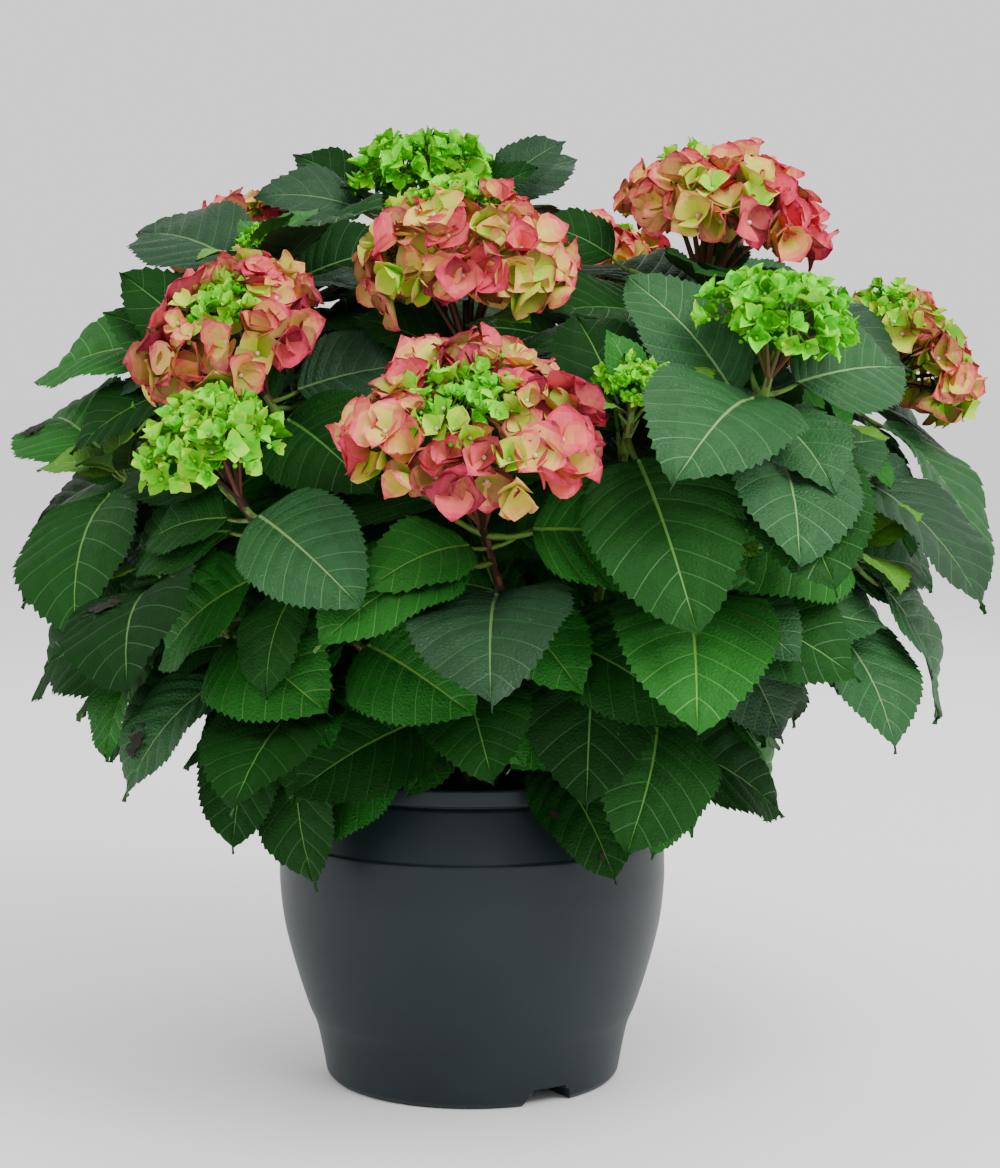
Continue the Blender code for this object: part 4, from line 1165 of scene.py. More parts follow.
def add_sepal(piece, grid, place, length, breadth, cup, bend, tones, dull, seed):
    """One sepal; its place is its root, its own direction and the floret's."""
    root, out, up = place
    side = out.cross(up).normalized()
    u = grid.u
    v = grid.v
    across = u * grid.outline * breadth * length * 0.5
    ripple = np.sin(5.0 * u + 8.0 * v + math.tau * scatter(seed, 3)) * v * np.abs(u)
    fold = 0.5 * np.abs(u) + 0.5 * u**2
    high = length * (CUP_ALONG * cup * v + CUP_ACROSS * cup * fold * grid.outline
                     - BEND_DROP * bend * v**BEND_POWER + RIPPLE * ripple)
    along = length * (v - BEND_SHORTENING * abs(bend) * v**2)
    points = (np.array(root) + along[..., None] * np.array(out) + across[..., None] * np.array(side)
              + high[..., None] * np.array(up))
    base, rim = tones
    slots = []
    for number, blush in enumerate(grid.blush):
        stage = base + (rim - base) * clamp(blush) + jitter(STAGE_JITTER, seed, number)
        stage = min(SEPAL_STAGES[-1][0], max(0.0, stage))
        # A sepal with painted shade takes the darker copy of its stage's tone.
        slots.append(len(BRIGHT_TONES) + round(stage) if dull else round(stage * STAGE_STEPS))
    piece.add(points.reshape(-1, 3), grid.faces, slots)


def add_floret(piece, place, normal, length, tones, dull, openness, seed):
    """Four sepals crosswise round a bead; openness 0 is a cup, 1 is flat."""
    around = normal.orthogonal().normalized()
    other = normal.cross(around)
    start = scatter(seed, 1) * math.tau
    small = length < LARGE_SEPAL
    for number in range(SEPALS):
        keys = (seed, number)
        inner = number % 2 == 0
        out = between(start + number * math.tau / SEPALS + jitter(0.2, *keys, 2), around, other)
        rise = CLOSED_TILT * (1.0 - openness) + jitter(0.32, *keys, 4)
        size = length * (1.0 + jitter(0.14, *keys, 5)) * (INNER_LENGTH if inner else 1.0)
        root = place + normal * (INNER_ROOT if inner else OUTER_ROOT) + out * ROOT_REACH
        ahead = between(rise, out, normal).normalized()
        up = between(rise, normal, -out).normalized()
        breadth = (SMALL_BREADTH if small else LARGE_BREADTH) + jitter(0.14, *keys, 7)
        cup = MEAN_CUP + jitter(0.25, *keys, 8)
        bend = LEAST_BEND + OPEN_BEND * openness + jitter(0.6, *keys, 9)
        shift = jitter(0.9, *keys, 6)
        # Painted shade falls on each sepal by the chance given.
        add_sepal(piece, SMALL if small else LARGE, (root, ahead, up), size, breadth, cup, bend,
                  (tones[0] + shift, tones[1] + 0.5 * shift), scatter(*keys, 10) < dull,
                  seed * 7 + number)
    add_ball(piece, place + normal * BEAD_RISE, BEAD_RADIUS + BEAD_GROWTH * length,
             BEAD_SLOT + (tones[0] < GREEN_BEAD))


# For each head: its kind, the azimuth and elevation of its green middle, how far the green
# reaches from there, how much its middle stands up, how far down its florets go, the share of
# sepals with painted shade (darker copies of their tones) and how much rosier it is than the
# others.  Angles are in degrees.
Head = namedtuple("Head", "kind azimuth elevation green crest rim dull rosy", defaults=(0.6, 0.0))
HEADS = {
    "front": Head("rose", -100, 44, 20, 0.0, 82),
    "upper": Head("upper", 128, 64, 42, 0.012, 106, 0.25, -0.12),
    "left": Head("rose", -112, 44, 22, 0.0, 92),
    "back_left": Head("rose", 20, 76, 18, 0.0, 84),
    "top": Head("green", 0, 90, 0, -0.004, 96),
    "right_top": Head("rose", 190, 70, 10, 0.004, 88, 0.0, 0.10),
    "right_green": Head("green", 0, 90, 0, 0.0, 92),
    "right_edge": Head("lime", -150, 60, 26, 0.0, 100),
    "front_bud": Head("bud", 0, 90, 0, 0.0, 92),
    "left_green": Head("open", 0, 90, 0, 0.0, 92),
    "left_bud": Head("bud", 0, 90, 0, 0.0, 92),
    "low_bud": Head("bud", 0, 90, 0, 0.0, 92),
    "back": Head("rose", 60, 76, 20, 0.004, 88),
    "back_mid": Head("lime", 90, 60, 24, 0.0, 88),
    "back_right": Head("rose", 40, 60, 20, 0.0, 88),
    "back_far_left": Head("green", 0, 90, 0, 0.0, 92),
}
BIG_KINDS = ("rose", "lime", "upper")
GREEN_STAGE = {"green": 1.2, "open": 2.1, "bud": 1.85}
# How the ripe florets of a head are mixed: the chance up to which a kind comes up, the stages of
# its middle and rim, and how far the rim's varies with the middle's.
MIXES = {
    "rose": ((0.18, 4.2, 7.2, 1.0), (0.66, 5.6, 11.6, 0.6), (math.inf, 9.6, 12.6, 0.6)),
    "lime": ((0.5, 3.4, 5.0, 1.0), (math.inf, 4.8, 10.6, 1.0)),
    "pale": ((math.inf, 5.8, 8.0, 1.0),),
}
UNRIPE = 0.3                    # florets less ripe than this are green
RIPE_WIDTH = 20                 # degrees from the edge of the green middle to the first ripe floret
HEAD_UNDER = 0.45               # depth of a head's underside against its radius
FLORET_STEP = 0.95              # between florets in a ring, and between rings, of their sepals
RING_STEP = 0.88
INNERMOST = 0.06                # no ring is closer to the head's axis than this, radians
CLOSED_SHARE = 0.35             # of a bud's florets


def head_point(shoot, polar, azimuth, depth=0.0):
    """Point on a head's dome, the outward direction there and the direction from its middle."""
    turn = bloom_axis(shoot).to_track_quat("Z", "Y")
    flat = Vector((math.sin(polar) * math.cos(azimuth), math.sin(polar) * math.sin(azimuth),
                   math.cos(polar)))
    rise = BLOOM_RISE if flat.z > 0.0 else HEAD_UNDER
    lump = BLOOM_LUMPS * math.sin(3.0 * azimuth + 40.0 * shoot.bloom) * math.sin(polar)
    point = Vector((flat.x, flat.y, flat.z * rise)) * (shoot.bloom * (1.0 + lump) - depth)
    normal = Vector((flat.x, flat.y, flat.z / rise))
    return Vector(shoot.place) + turn @ point, (turn @ normal).normalized(), turn @ flat


def floret_tones(head, ripe, place, middle, keys):
    """Stages of a floret's middle and rim; ripe is 0 in the green middle and 1 at the rim."""
    chance = scatter(*keys, 8)
    wander = jitter(0.8, *keys, 6)
    if head.kind in GREEN_STAGE:
        base = GREEN_STAGE[head.kind] + 0.8 * wander
        return base, base + 0.9 + 0.9 * chance
    if ripe < UNRIPE:
        return 1.9 + 5.0 * ripe + wander, 2.8 + 7.0 * ripe + wander
    kind = head.kind
    if kind == "upper":
        pale = place.x < middle.x - 0.015 and place.y > middle.y - 0.020
        kind = "pale" if pale else "rose"
    if kind == "rose":
        chance += 0.22 * math.sin(1.3 * keys[2] + 2.0 * keys[0]) + head.rosy
    base, rim, share = next(mix[1:] for mix in MIXES[kind] if chance < mix[0])
    return base + wander, rim + share * wander


def floret_size(shoot, head, keys, way):
    """Length of a floret's sepals and its ripeness, for a direction from the head's middle."""
    if head.kind in BIG_KINDS:
        away = math.degrees(way.angle(heading(head.azimuth, head.elevation)))
        ripe = clamp((away - head.green) / RIPE_WIDTH)
        size = FULL_SEPAL * (0.46 + 0.54 * ripe) * clamp(0.5 + shoot.bloom / 0.15)
        return size * (0.76 + 0.30 * scatter(*keys, 6)), ripe
    if head.kind == "bud":
        return max(BUD_SEPAL, BUD_SHARE * shoot.bloom), 0.0
    flat = math.sin(way.angle(bloom_axis(shoot)))
    return GREEN_SEPAL * (0.8 + 0.6 * scatter(*keys, 5) * flat), 0.0


def head_florets(index, shoot, head):
    """Places of the florets in rings round the head's axis, from the rim inwards."""
    radius = shoot.bloom
    florets = []
    polar = math.radians(head.rim)
    row = 0
    while polar > INNERMOST or not row:
        sizes = []
        azimuth = 0.0
        start = math.tau * scatter(index, row, 3)
        while azimuth < math.tau:
            keys = (index, row, len(sizes))
            way = head_point(shoot, polar, start + azimuth)[2]
            size, ripe = floret_size(shoot, head, keys, way)
            step = FLORET_STEP * size / (radius * math.sin(polar))
            if sizes and azimuth + 0.55 * step > math.tau:
                break
            sizes.append(size)
            wander = jitter(0.22 * size / radius, *keys, 2)
            florets.append((polar + wander, start + azimuth, size, ripe, keys))
            azimuth += step
        mean = sum(sizes) / len(sizes)
        polar -= RING_STEP * mean / (radius * (BLOOM_RISE + (1.0 - BLOOM_RISE) * math.cos(polar)**2))
        row += 1
    keys = (index, row, 0)
    florets.append((0.0, 0.0, *floret_size(shoot, head, keys, bloom_axis(shoot)), keys))
    return florets


def add_head(plant, blooms, stalks):
    index = plant.index
    shoot = plant.shoot
    head = HEADS[shoot.name]
    axis = bloom_axis(shoot)
    middle = Vector(shoot.place)
    large = head.kind in BIG_KINDS
    tips = []
    for number, (polar, azimuth, size, ripe, keys) in enumerate(head_florets(index, shoot, head)):
        big = size > BIG_FLORET
        sunk = 0.018 if big else 0.013 if large else 0.006
        place, normal, _ = head_point(shoot, max(0.0, polar), azimuth, sunk)
        place += normal * (jitter(0.008, *keys, 7) - 0.003 if big else jitter(0.004, *keys, 7))
        place += axis * head.crest * (1.0 - ripe if large else math.cos(polar))
        loose = 0.55 if big else 0.85
        facing = (normal + loose * shake(keys, 3, 4, 5) + 0.15 * axis).normalized()
        if head.kind == "bud" and scatter(*keys, 12) < CLOSED_SHARE:
            add_ball(blooms, place, size * 0.36, 2 * STAGE_STEPS, 1.15, normal)
        else:
            tones = floret_tones(head, ripe, place, middle, keys)
            openness = (0.10 + 0.75 * scatter(*keys, 11)) * clamp(size / FULL_SEPAL)
            # Chance of painted shade on the floret's sepals: a base, more for large heads, and a random part
            # of the head's share.
            dull = head.dull * scatter(*keys, 29)**2 + (0.08 if large else 0.04)
            add_floret(blooms, place, facing, size, tones, dull, openness, index * 400 + number)
        for spare in range(2 if size < LARGE_SEPAL else 0):
            offset = shake(keys, 13 + spare, 17 + spare, 19 + spare)
            bead = place - facing * size * 0.1 + offset * size * 0.55
            add_ball(blooms, bead, 0.0013 + 0.0006 * scatter(*keys, 23 + spare), (1 + spare) * STAGE_STEPS)
        tips.append((place, size, big))
    add_branches(plant, tips, stalks, large)


def add_branches(plant, tips, stalks, large):
    """The head's own branches from the stem, and a thin stalk to each floret."""
    shoot = plant.shoot
    radius = shoot.bloom
    depth = BLOOM_FOOT * radius + (0.014 if shoot.name in DARK_STEMS else 0.004)
    foot, stem = point_below(plant.path, depth)
    count = 9 if radius > 0.04 else 5
    thick = 0.0010 + 0.011 * radius
    tone = 2 if large or shoot.name == "left_green" else 1
    forks = []
    for number in range(count):
        azimuth = math.tau * number / count + jitter(0.2, plant.index, number, 31)
        fork = head_point(shoot, math.radians(80 if number % 2 else 50), azimuth, radius * 0.42)[0]
        bow = foot.lerp(fork, 0.5) + stem * radius * 0.10
        add_tube(stalks, [foot - stem * 0.004, foot, bow, fork],
                 [thick * 1.5, thick * 1.4, thick, thick * 0.8], 5,
                 lambda row, side, number=number: tone + (scatter(row, side, number) > 0.6))
        forks.append(fork)
    for place, size, big in tips:
        fork = min(forks, key=lambda point: (point - place).length)
        bow = fork.lerp(place, 0.5) - bloom_axis(shoot) * size * 0.12
        add_tube(stalks, [fork, bow, place], [0.0010, 0.0008, 0.0007], 3, 1 if big else 0, False)


# ---------------------------------------------------------------- stems, canes and stock
def limb(plant, start, end, rings):
    """Points of the plant's path from one distance below its tip to another, and the distances."""
    distances = [start + (end - start) * (1.0 - i / rings) for i in range(rings + 1)]
    return [point_below(plant.path, distance)[0] for distance in distances], distances


def add_stem(plant, stalks, barks):
    """Green shoot from its tip to the split, and the brown cane below."""
    index = plant.index
    shoot = plant.shoot
    rings = max(8, int(plant.split / STEM_STEP))
    joints = [pair_depth(shoot, pair) for pair in range(shoot.pairs)]
    points, distances = limb(plant, 0.0, plant.split, rings)
    radii = []
    for i, distance in enumerate(distances):
        swell = sum(math.exp(-((distance - joint) / JOINT_LENGTH)**2) for joint in joints)
        radius = CANE_TIP_RADIUS + (STEM_TIP_RADIUS - CANE_TIP_RADIUS) * (i / rings)
        radii.append(radius * (1.0 + JOINT_SWELL * swell))

    def tone(row, side):
        share = row / rings
        speck = scatter(row, side, index)
        if shoot.name in DARK_STEMS or (share < 0.25 and plant.tall):
            return 3 if speck < 0.75 else 2
        if speck < 0.12:
            return 2
        return 1 if plant.tall and share < 0.6 and speck < 0.6 else 0

    add_tube(stalks, points, radii, 8, tone)
    if not plant.tall:
        return
    rings = max(10, int((plant.total - plant.split) / CANE_STEP))
    points, distances = limb(plant, plant.split, plant.total, rings)
    radii = []
    for i, distance in enumerate(distances):
        scar = math.exp(-(((distance * 1000) % SCAR_STEP - SCAR_STEP // 2) / SCAR_WIDTH)**2)
        flare = math.exp(-(plant.total - distance) / FOOT_LENGTH)
        radius = CANE_FOOT_RADIUS + (CANE_TIP_RADIUS - CANE_FOOT_RADIUS) * i / rings
        radii.append(radius * (1.0 + SCAR_SWELL * scar + FOOT_SWELL * flare))

    def bark(row, side):
        return pick(range(4), side, row // 3, index) if scatter(row, side, index, 5) > 0.25 else 0

    add_tube(barks, points, radii, 10, bark, ridges=BARK_RIDGES, seed=index)


def add_disc(piece, rows, sides, point, tone, closed=False):
    """Rings of points from the middle outwards, with a finish picked for each face."""
    verts = [point(row, i) for row in range(rows + 1) for i in range(sides)]
    faces = grid_faces(rows + 1, sides, turned=True)
    slots = [tone(*divmod(i, sides)) for i in range(len(faces))]
    if closed:
        faces.append(tuple(range(rows * sides, (rows + 1) * sides)))
        slots.append(0)
    piece.add(verts, faces, slots)


def make_stock(nodes):
    """The woody stock: a knobbly dome with the stubs of cut canes, on a flared foot."""
    piece = Piece("stock", BARK_FINISHES, "bark", nodes)
    sides = 72
    rows = 30
    waist = STOCK_CENTRE.z - STOCK_WAIST
    foot = SOIL_TOP + GAP

    def point(row, i):
        share = row / rows
        angle = math.tau * i / sides
        if share < STOCK_DOME:
            up = math.radians(90.0 - STOCK_TURN * share / STOCK_DOME)
            radius = STOCK_RADIUS * math.cos(up)
            height = STOCK_CENTRE.z + STOCK_RADIUS * math.sin(up)
        else:
            down = (share - STOCK_DOME) / (1.0 - STOCK_DOME)
            radius = STOCK_RADIUS + (STOCK_FLARE_RADIUS - STOCK_RADIUS) * down**2
            height = waist - (waist - foot) * down
        ridge = STOCK_RIDGE * math.sin(9 * angle + 3 * math.sin(5 * share))
        ridge *= math.sin(math.pi * min(1.0, share * 1.1))
        rough = STOCK_ROUGH * (scatter(i, row, 3) - 0.6)
        radius = max(0.0, radius + ridge - STOCK_ROUGH + rough * (radius > 0.004))
        return radius * math.cos(angle), radius * math.sin(angle), height

    def tone(row, i):
        return pick(range(4), i // 2, row // 3, 8) if scatter(i, row, 9) > 0.3 else 0

    add_disc(piece, rows, sides, point, tone, closed=True)
    for number in range(STOCK_STUBS):
        azimuth = 360.0 * number / STOCK_STUBS + jitter(14, number, 5)
        out = heading(azimuth, 90.0 - (STUB_POLAR + jitter(8, number, 6)))
        start = STOCK_CENTRE + out * (STOCK_RADIUS - STUB_ROOT)
        bend = start + out * STUB_OUT
        high = STUB_HIGH + STUB_HIGH * scatter(number, 7)
        upwards = (out + Vector((0.0, 0.0, 0.8))).normalized()
        add_tube(piece, [start, bend, bend + upwards * high], STUB_RADII, 9,
                 lambda row, side: 1 + int(2.9 * scatter(row, side)), ridges=STUB_RIDGES, seed=number)
    piece.build()


# ---------------------------------------------------------------- pot and soil
def rounded(profile, radius=0.0012, steps=3):
    """The profile with its corners rounded."""
    points = [profile[0]]
    for before, corner, after in zip(profile, profile[1:], profile[2:]):
        b = Vector(before)
        c = Vector(corner)
        a = Vector(after)
        near = min(radius, 0.45 * (c - b).length, 0.45 * (a - c).length)
        first = c + (b - c).normalized() * near
        last = c + (a - c).normalized() * near
        for i in range(steps + 1):
            t = i / steps
            points.append(tuple((1 - t)**2 * first + 2 * t * (1 - t) * c + t * t * last))
    points.append(profile[-1])
    return points


def smooth_wall(profile, start, end, step=0.004):
    """Fills the wall's long runs between two points of the profile with a smooth curve."""
    points = []
    for i, point in enumerate(profile):
        points.append(point)
        if start <= i < end:
            before = Vector(profile[max(i - 1, start)])
            a = Vector(point)
            b = Vector(profile[i + 1])
            after = Vector(profile[min(i + 2, end)])
            count = max(1, int((b - a).length / step))
            for k in range(1, count):
                t = k / count
                points.append(tuple(0.5 * ((2 * a) + (b - before) * t
                                           + (2 * before - 5 * a + 4 * b - after) * t * t
                                           + (3 * a - before - 3 * b + after) * t**3)))
    return points


def channel(azimuth):
    """A drainage channel's shape, to be cut from the pot."""
    box = bmesh.new()
    bmesh.ops.create_cube(box, size=1.0)
    length = CHANNEL_OUTER_END + 0.02 - CHANNEL_INNER_END
    for vertex in box.verts:
        top = vertex.co.z > 0
        vertex.co.x = vertex.co.x * length + length / 2 + CHANNEL_INNER_END
        vertex.co.y *= CHANNEL_WIDTH * (1.0 if top else CHANNEL_FOOT_FLARE)
        vertex.co.z = CHANNEL_HEIGHT if top else -CHANNEL_HEIGHT
    bmesh.ops.bevel(box, geom=[e for e in box.edges if all(v.co.z > 0 for v in e.verts)],
                    offset=0.003, segments=3, affect="EDGES")
    bmesh.ops.recalc_face_normals(box, faces=box.faces)
    mesh = bpy.data.meshes.new("channel")
    box.to_mesh(mesh)
    box.free()
    cutter = add_object("channel", mesh)
    cutter.rotation_euler.z = math.radians(azimuth)
    return cutter


def make_pot(nodes):
    wall = smooth_wall(POT_WALL, *POT_SMOOTH)
    profile = rounded([(POT_AXIS, FLOOR), *POT_INSIDE[::-1], *wall, (POT_AXIS, 0.0)])
    verts, faces = lathe(profile, POT_SIDES, turned=True)
    faces.append(tuple(range(POT_SIDES)))
    faces.append(tuple(reversed(range((len(profile) - 1) * POT_SIDES, len(profile) * POT_SIDES))))
    mesh = new_mesh("pot_shell", verts, faces)
    mesh.update()
    work = bmesh.new()
    work.from_mesh(mesh)
    bmesh.ops.recalc_face_normals(work, faces=work.faces)
    work.to_mesh(mesh)
    work.free()
    obj = add_object("pot_shell", mesh)
    cutters = [channel(CHANNEL_FIRST_AZIMUTH + 360.0 * index / CHANNEL_COUNT)
               for index in range(CHANNEL_COUNT)]
    for cutter in cutters:
        cut = obj.modifiers.new("channel", "BOOLEAN")
        cut.operation = "DIFFERENCE"
        cut.solver = "EXACT"
        cut.object = cutter
    bpy.context.view_layer.update()
    shaped = bpy.data.meshes.new_from_object(obj.evaluated_get(bpy.context.evaluated_depsgraph_get()))
    for used in (obj, *cutters):
        bpy.data.objects.remove(used, do_unlink=True)
    shaped.shade_smooth()
    shaped.set_sharp_from_angle(angle=math.radians(38))
    shaped.materials.clear()
    shaped.materials.append(pot_finish())
    place_piece(shaped, "pot_wall", "pot", nodes)


def make_soil(nodes):
    """Crumbly soil with bark chips, filling the pot."""
    piece = Piece("soil_bed", SOIL_FINISHES, "soil", nodes)
    sides = 120
    rows = 44

    def point(row, i):
        x = SOIL_EDGE * row / rows * math.cos(math.tau * i / sides)
        y = SOIL_EDGE * row / rows * math.sin(math.tau * i / sides)
        lump = (SOIL_LUMPS * math.sin(61 * x + 17 * math.sin(43 * y)) * math.sin(57 * y)
                + SOIL_CRUMBS * (scatter(i // 2, row) - 0.5))
        return x, y, SOIL_TOP - SOIL_LUMPS + lump * min(1.0, (rows - row) / 3)

    add_disc(piece, rows, sides, point, lambda row, i: int(2.6 * scatter(i, row, 4)))
    for number in range(SOIL_CHIPS):
        keys = (number, 77)
        radius = 0.045 + (SOIL_EDGE - 0.055) * math.sqrt(scatter(*keys, 1))
        angle = math.tau * scatter(*keys, 2)
        middle = Vector((radius * math.cos(angle), radius * math.sin(angle), SOIL_TOP - 0.0002))
        ahead = heading(360 * scatter(*keys, 3), jitter(14, *keys, 4))
        side = ahead.cross(Vector((0.0, 0.0, 1.0))).normalized()
        up = side.cross(ahead)
        long = CHIP_LENGTH + CHIP_SPREAD * scatter(*keys, 5)
        wide = long * (0.3 + 0.3 * scatter(*keys, 6))
        high = 0.0010 + 0.0008 * scatter(*keys, 7)
        corners = [middle + x * long * ahead * (1 + 0.2 * z) + y * wide * side + z * high * up
                   for z in (-1, 1) for x, y in ((-1, -0.7), (1, -1), (0.8, 0.9), (-0.9, 1))]
        faces = [(3, 2, 1, 0), (4, 5, 6, 7), (0, 1, 5, 4), (1, 2, 6, 5), (2, 3, 7, 6), (3, 0, 4, 7)]
        piece.add(corners, faces, [1 + int(3.99 * scatter(*keys, 8)**1.6)] * len(faces))
    piece.build()


# ---------------------------------------------------------------- the whole plant
# Leaves whose tone is given one by one: shoot, pair and side.
# Each tone matches how light or dark the leaf looks where it hangs, so these are partly the leaf's own green
# and partly painted light and shade; GREY_SHEEN and BLUE_SHEEN are painted sheen.
TONES = {
    DEEP: (("front_bud", 2, 1), ("left_side", 2.75, 1), ("left_low", 0, 0), ("right_top", 0, 1),
           ("left_bud", 48, 0)),
    DARK: (("left", 0, 0), ("low_2", 0, 0), ("low_2", 1, 1), ("right_top", 0.5, 1), ("right_top", 35, 0),
           ("left_bud", 0, 0), ("far_left", 33, 0)),
    MID: (("front_bud", 0, 1), ("right_green", 1, 0), ("front", 1.5, 1), ("left_green", 0.25, 1),
          ("left_side", 0, 0), ("left_low", 1.25, 1), ("low_0", 0, 0)),
    FRESH: (("low_bud", 0, 0), ("front", 0, 0), ("front", 0.25, 1), ("front", 1.25, 1),
            ("left_green", 1, 1), ("left_green", 2, 1), ("left_low", 0, 1), ("low_2", 0, 1),
            ("far_left", 0, 0), ("right_low", 0, 1)),
    GREY_SHEEN: (("front", 1, 1), ("left_bud", 0, 1), ("top", 20, 0), ("top", 23, 0)),
    BLUE_SHEEN: (("right_green", 0, 0), ("right_green", 0.5, 0), ("right_green", 0.5, 1),
           ("right_green", 0.25, 0), ("left_green", 0, 0), ("left_low", 1.5, 1), ("right_low", 0, 0),
           ("right_low", 1, 1), ("right_low", 1.25, 1), ("right_low", 0.25, 0)),
}
TONE_OF = {leaf: tone for tone, leaves in TONES.items() for leaf in leaves}
SMALL_LEAF = 0.092              # leaves shorter than this have a plainer edge
# Brown patches on leaves of the shaded side: the shares along and across the blade.
PATCHES = {
    ("left_low", 0, 0): (0.30, -0.45),
    ("left_low", 1.25, 1): (0.55, 0.25),
    ("left_side", 0, 1): (0.60, 0.55),
    ("left_low", 1.5, 1): (0.66, -0.40),
}
PATCH_SPOTS = 60
FEW_SPOTS = 4                   # on a share of the leaves under a height
SPOTTED_SHARE = 0.05
SPOTTED_HEIGHT = 0.42
TWIG_RADII = (0.0024, 0.0020, 0.0018)
TWIG_SAG = Vector((0.0, 0.0, 0.004))
YOUNG_PULL = Vector((0.0, -0.2, 0.3))       # young leaves turn from the stem's tip to the light
YOUNG_LENGTH = 0.052
YOUNG_STEP = -0.018             # of the length, for each further pair
YOUNG_SPREAD = 0.018
YOUNG_DROOP = 60.0
YOUNG_MISSING = 0.45            # share of those round a flower head that are left out
# Leaves that would hide the front of the pot or stand clear of the crown.
LEFT_OUT = (("low_1", 0, 0), ("low_1", 0.5, 1), ("low_2", 1.5, 1), ("low_0", 0.25, 0),
            ("right_low", 1.5, 1), ("right_low", 3, 0), ("low_0", 0.5, 0))


def leaf_tone(leaf, keys):
    """Painted sheen where the key light falls at the right and top of the crown: blue-grey tones that stand
    in for the sky's reflection; elsewhere greens from deep to fresh at random.
    """
    middle = leaf.rib(0.5)[0]
    # Painted sheen: leaves in the key light at the right get the blue-grey tones.
    bright = clamp((middle.x - 0.07) / 0.10) * clamp((middle.z - 0.28) / 0.10)
    if bright > scatter(*keys, 21):
        return pick((BLUE_SHEEN, BLUE_SHEEN, GREY_SHEEN, MID), *keys, 22)
    # Painted sheen from above on leaves at the top of the crown.
    if 0.5 * clamp((middle.z - 0.46) / 0.08) > scatter(*keys, 23):
        return GREY_SHEEN
    return pick((DEEP, DARK, DARK, MID, FRESH), *keys, 24)


def add_stalk(stalks, leaf, index):
    """A leaf's stalk: thick at the stem, sagging a little, with faces of a second colour here and there."""
    size = (leaf.length / LEAF_LENGTH)**0.6
    start = leaf.root
    end = leaf.rib(0.02)[0]
    sag = Vector((0.0, 0.0, -0.06 * (end - start).length))
    points = []
    for i in range(len(STALK_RADII)):
        t = i / (len(STALK_RADII) - 1)
        points.append(start.lerp(end, t) + sag * 4 * t * (1 - t) - leaf.face * 0.0007)
    add_tube(stalks, points, [radius * size for radius in STALK_RADII], 6,
             lambda row, side: 1 if scatter(row, side, index) < 0.15 else 0)


def young_leaves(plant):
    """Small leaves round the foot of a flower head, or at a leafy shoot's tip, and their keys."""
    shoot = plant.shoot
    headed = shoot.bloom > YOUNG_BLOOM
    pairs = 1 if headed else 2
    for step in range(pairs):
        for side in (0, 1):
            keys = (plant.index, step, side)
            if headed and scatter(*keys, 41) < YOUNG_MISSING:
                continue
            depth = (BLOOM_FOOT * shoot.bloom + 0.004 if shoot.bloom else 0.001) + 0.006 * (pairs - 1 - step)
            root, stem = point_below(plant.path, depth)
            azimuth = shoot.phase + 45 + 90 * step + 180 * side + jitter(20, *keys, 42)
            up = (stem + YOUNG_PULL).normalized()
            out = up.orthogonal().normalized()
            flat = between(math.radians(azimuth), out, up.cross(out))
            ahead = between(math.radians(18 + 24 * step + jitter(12, *keys, 43)), flat, up)
            length = YOUNG_LENGTH + YOUNG_STEP * step + YOUNG_SPREAD * scatter(*keys, 44)
            yield keys, Leaf(root, ahead, up + 0.2 * flat, YOUNG_DROOP, length)


def dress_plant():
    masses = [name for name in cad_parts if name.startswith("shoot_")]
    limbs = [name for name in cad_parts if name.startswith("cane_")]
    leaves = Piece("leaves", LEAF_FINISHES, "foliage", masses)
    blooms = Piece("flowers", BLOOM_FINISHES, "foliage", masses)
    stalks = Piece("stems", STALK_FINISHES, "foliage", masses)
    barks = Piece("canes", BARK_FINISHES, "bark", limbs)
    for plant in Crown().plants:
        index = plant.index
        for (pair, side), leaf in plant.leaves:
            where = (plant.shoot.name, pair, side)
            if where in LEFT_OUT:
                continue
            keys = (index, int(2 * pair), side)
            spots = ()
            if where in PATCHES:
                spots = spot_places(index + pair, PATCH_SPOTS, PATCHES[where])
            elif scatter(*keys, 61) < SPOTTED_SHARE and leaf.base.z < SPOTTED_HEIGHT:
                spots = spot_places(index + pair, FEW_SPOTS)
            tone = TONE_OF.get(where, leaf_tone(leaf, keys))
            seed = index * 40 + int(4 * pair) * 2 + side
            add_leaf(leaves, leaf, tone, seed, FULL if leaf.length > SMALL_LEAF else PLAIN, spots)
            add_stalk(stalks, leaf, index)
        for keys, leaf in young_leaves(plant):
            tone = FRESH if scatter(*keys, 45) < 0.5 else YOUNG
            add_leaf(leaves, leaf, tone, 5000 + index * 8 + keys[1] * 2 + keys[2], PLAIN)
            add_stalk(stalks, leaf, index)
        if plant.shoot.bloom:
            add_head(plant, blooms, stalks)
        for foot, root in plant.twigs:
            add_tube(stalks, [foot, foot.lerp(root, 0.5) - TWIG_SAG, root], TWIG_RADII, 6, 0)
        add_stem(plant, stalks, barks)
    for piece in (leaves, blooms, stalks, barks):
        piece.build()


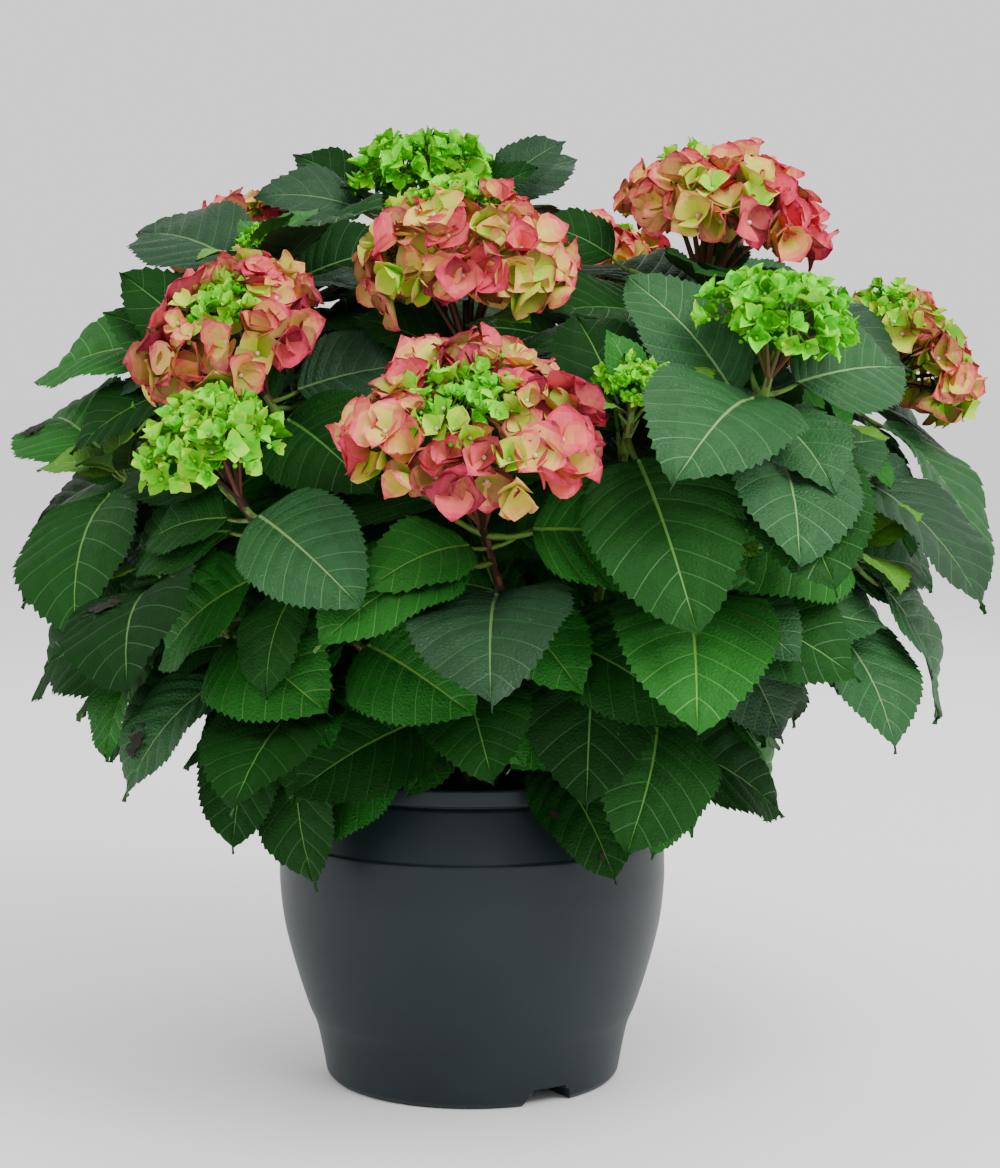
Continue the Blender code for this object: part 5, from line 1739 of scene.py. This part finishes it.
# ---------------------------------------------------------------- floor, light and camera
FLOOR_REACH = 14.0
FLOOR_DROP = -0.0004
AIM = Vector((0.0, 0.0, 0.4))   # what the lamps point at
# Each lamp's name, place, size in metres and power in watts.
LAMPS = (
    ("key", (1.2, -1.5, 2.2), 1.5, 76.0),
    ("left", (-2.0, -1.0, 1.8), 1.4, 6.0),
    ("back", (0.4, 2.2, 1.8), 1.6, 20.0),
)
WORLD_STRENGTH = 1.2
CAMERA_PLACE = (0.0203, -2.0, 0.562)
CAMERA_DOWN = 5.8               # degrees
CAMERA_LENS = 85.56             # millimetres, on a sensor 36 wide


def make_stage():
    corners = [(x * FLOOR_REACH, y * FLOOR_REACH, 0.0) for x, y in ((-1, -1), (1, -1), (1, 1), (-1, 1))]
    mesh = new_mesh("floor", corners, [(0, 1, 2, 3)])
    made = bpy.data.materials.new("floor_white")
    made.use_nodes = True
    shader = made.node_tree.nodes["Principled BSDF"]
    shader.inputs["Base Color"].default_value = (0.94, 0.94, 0.94, 1.0)
    shader.inputs["Roughness"].default_value = 0.9
    mesh.materials.append(made)
    floor = add_object("floor", mesh)
    floor.location.z = FLOOR_DROP
    world = bpy.data.worlds.new("studio")
    world.use_nodes = True
    sky = world.node_tree.nodes["Background"]
    sky.inputs["Color"].default_value = (1.0, 1.0, 1.0, 1.0)
    sky.inputs["Strength"].default_value = WORLD_STRENGTH
    bpy.context.scene.world = world
    for name, place, size, power in LAMPS:
        lamp = bpy.data.lights.new(name, "AREA")
        lamp.energy = power
        lamp.size = size
        obj = add_object(name, lamp)
        obj.location = place
        obj.rotation_euler = (AIM - Vector(place)).to_track_quat("-Z", "Y").to_euler()


def make_camera():
    data = bpy.data.cameras.new("camera")
    data.sensor_width = 36.0
    data.lens = CAMERA_LENS
    camera = add_object("camera", data)
    camera.location = CAMERA_PLACE
    camera.rotation_euler = (math.radians(90.0 - CAMERA_DOWN), 0.0, 0.0)
    bpy.context.scene.camera = camera


dress_plant()
make_stock(["woody_stock"])
make_soil(["soil"])
make_pot(["pot"])
make_stage()
make_camera()
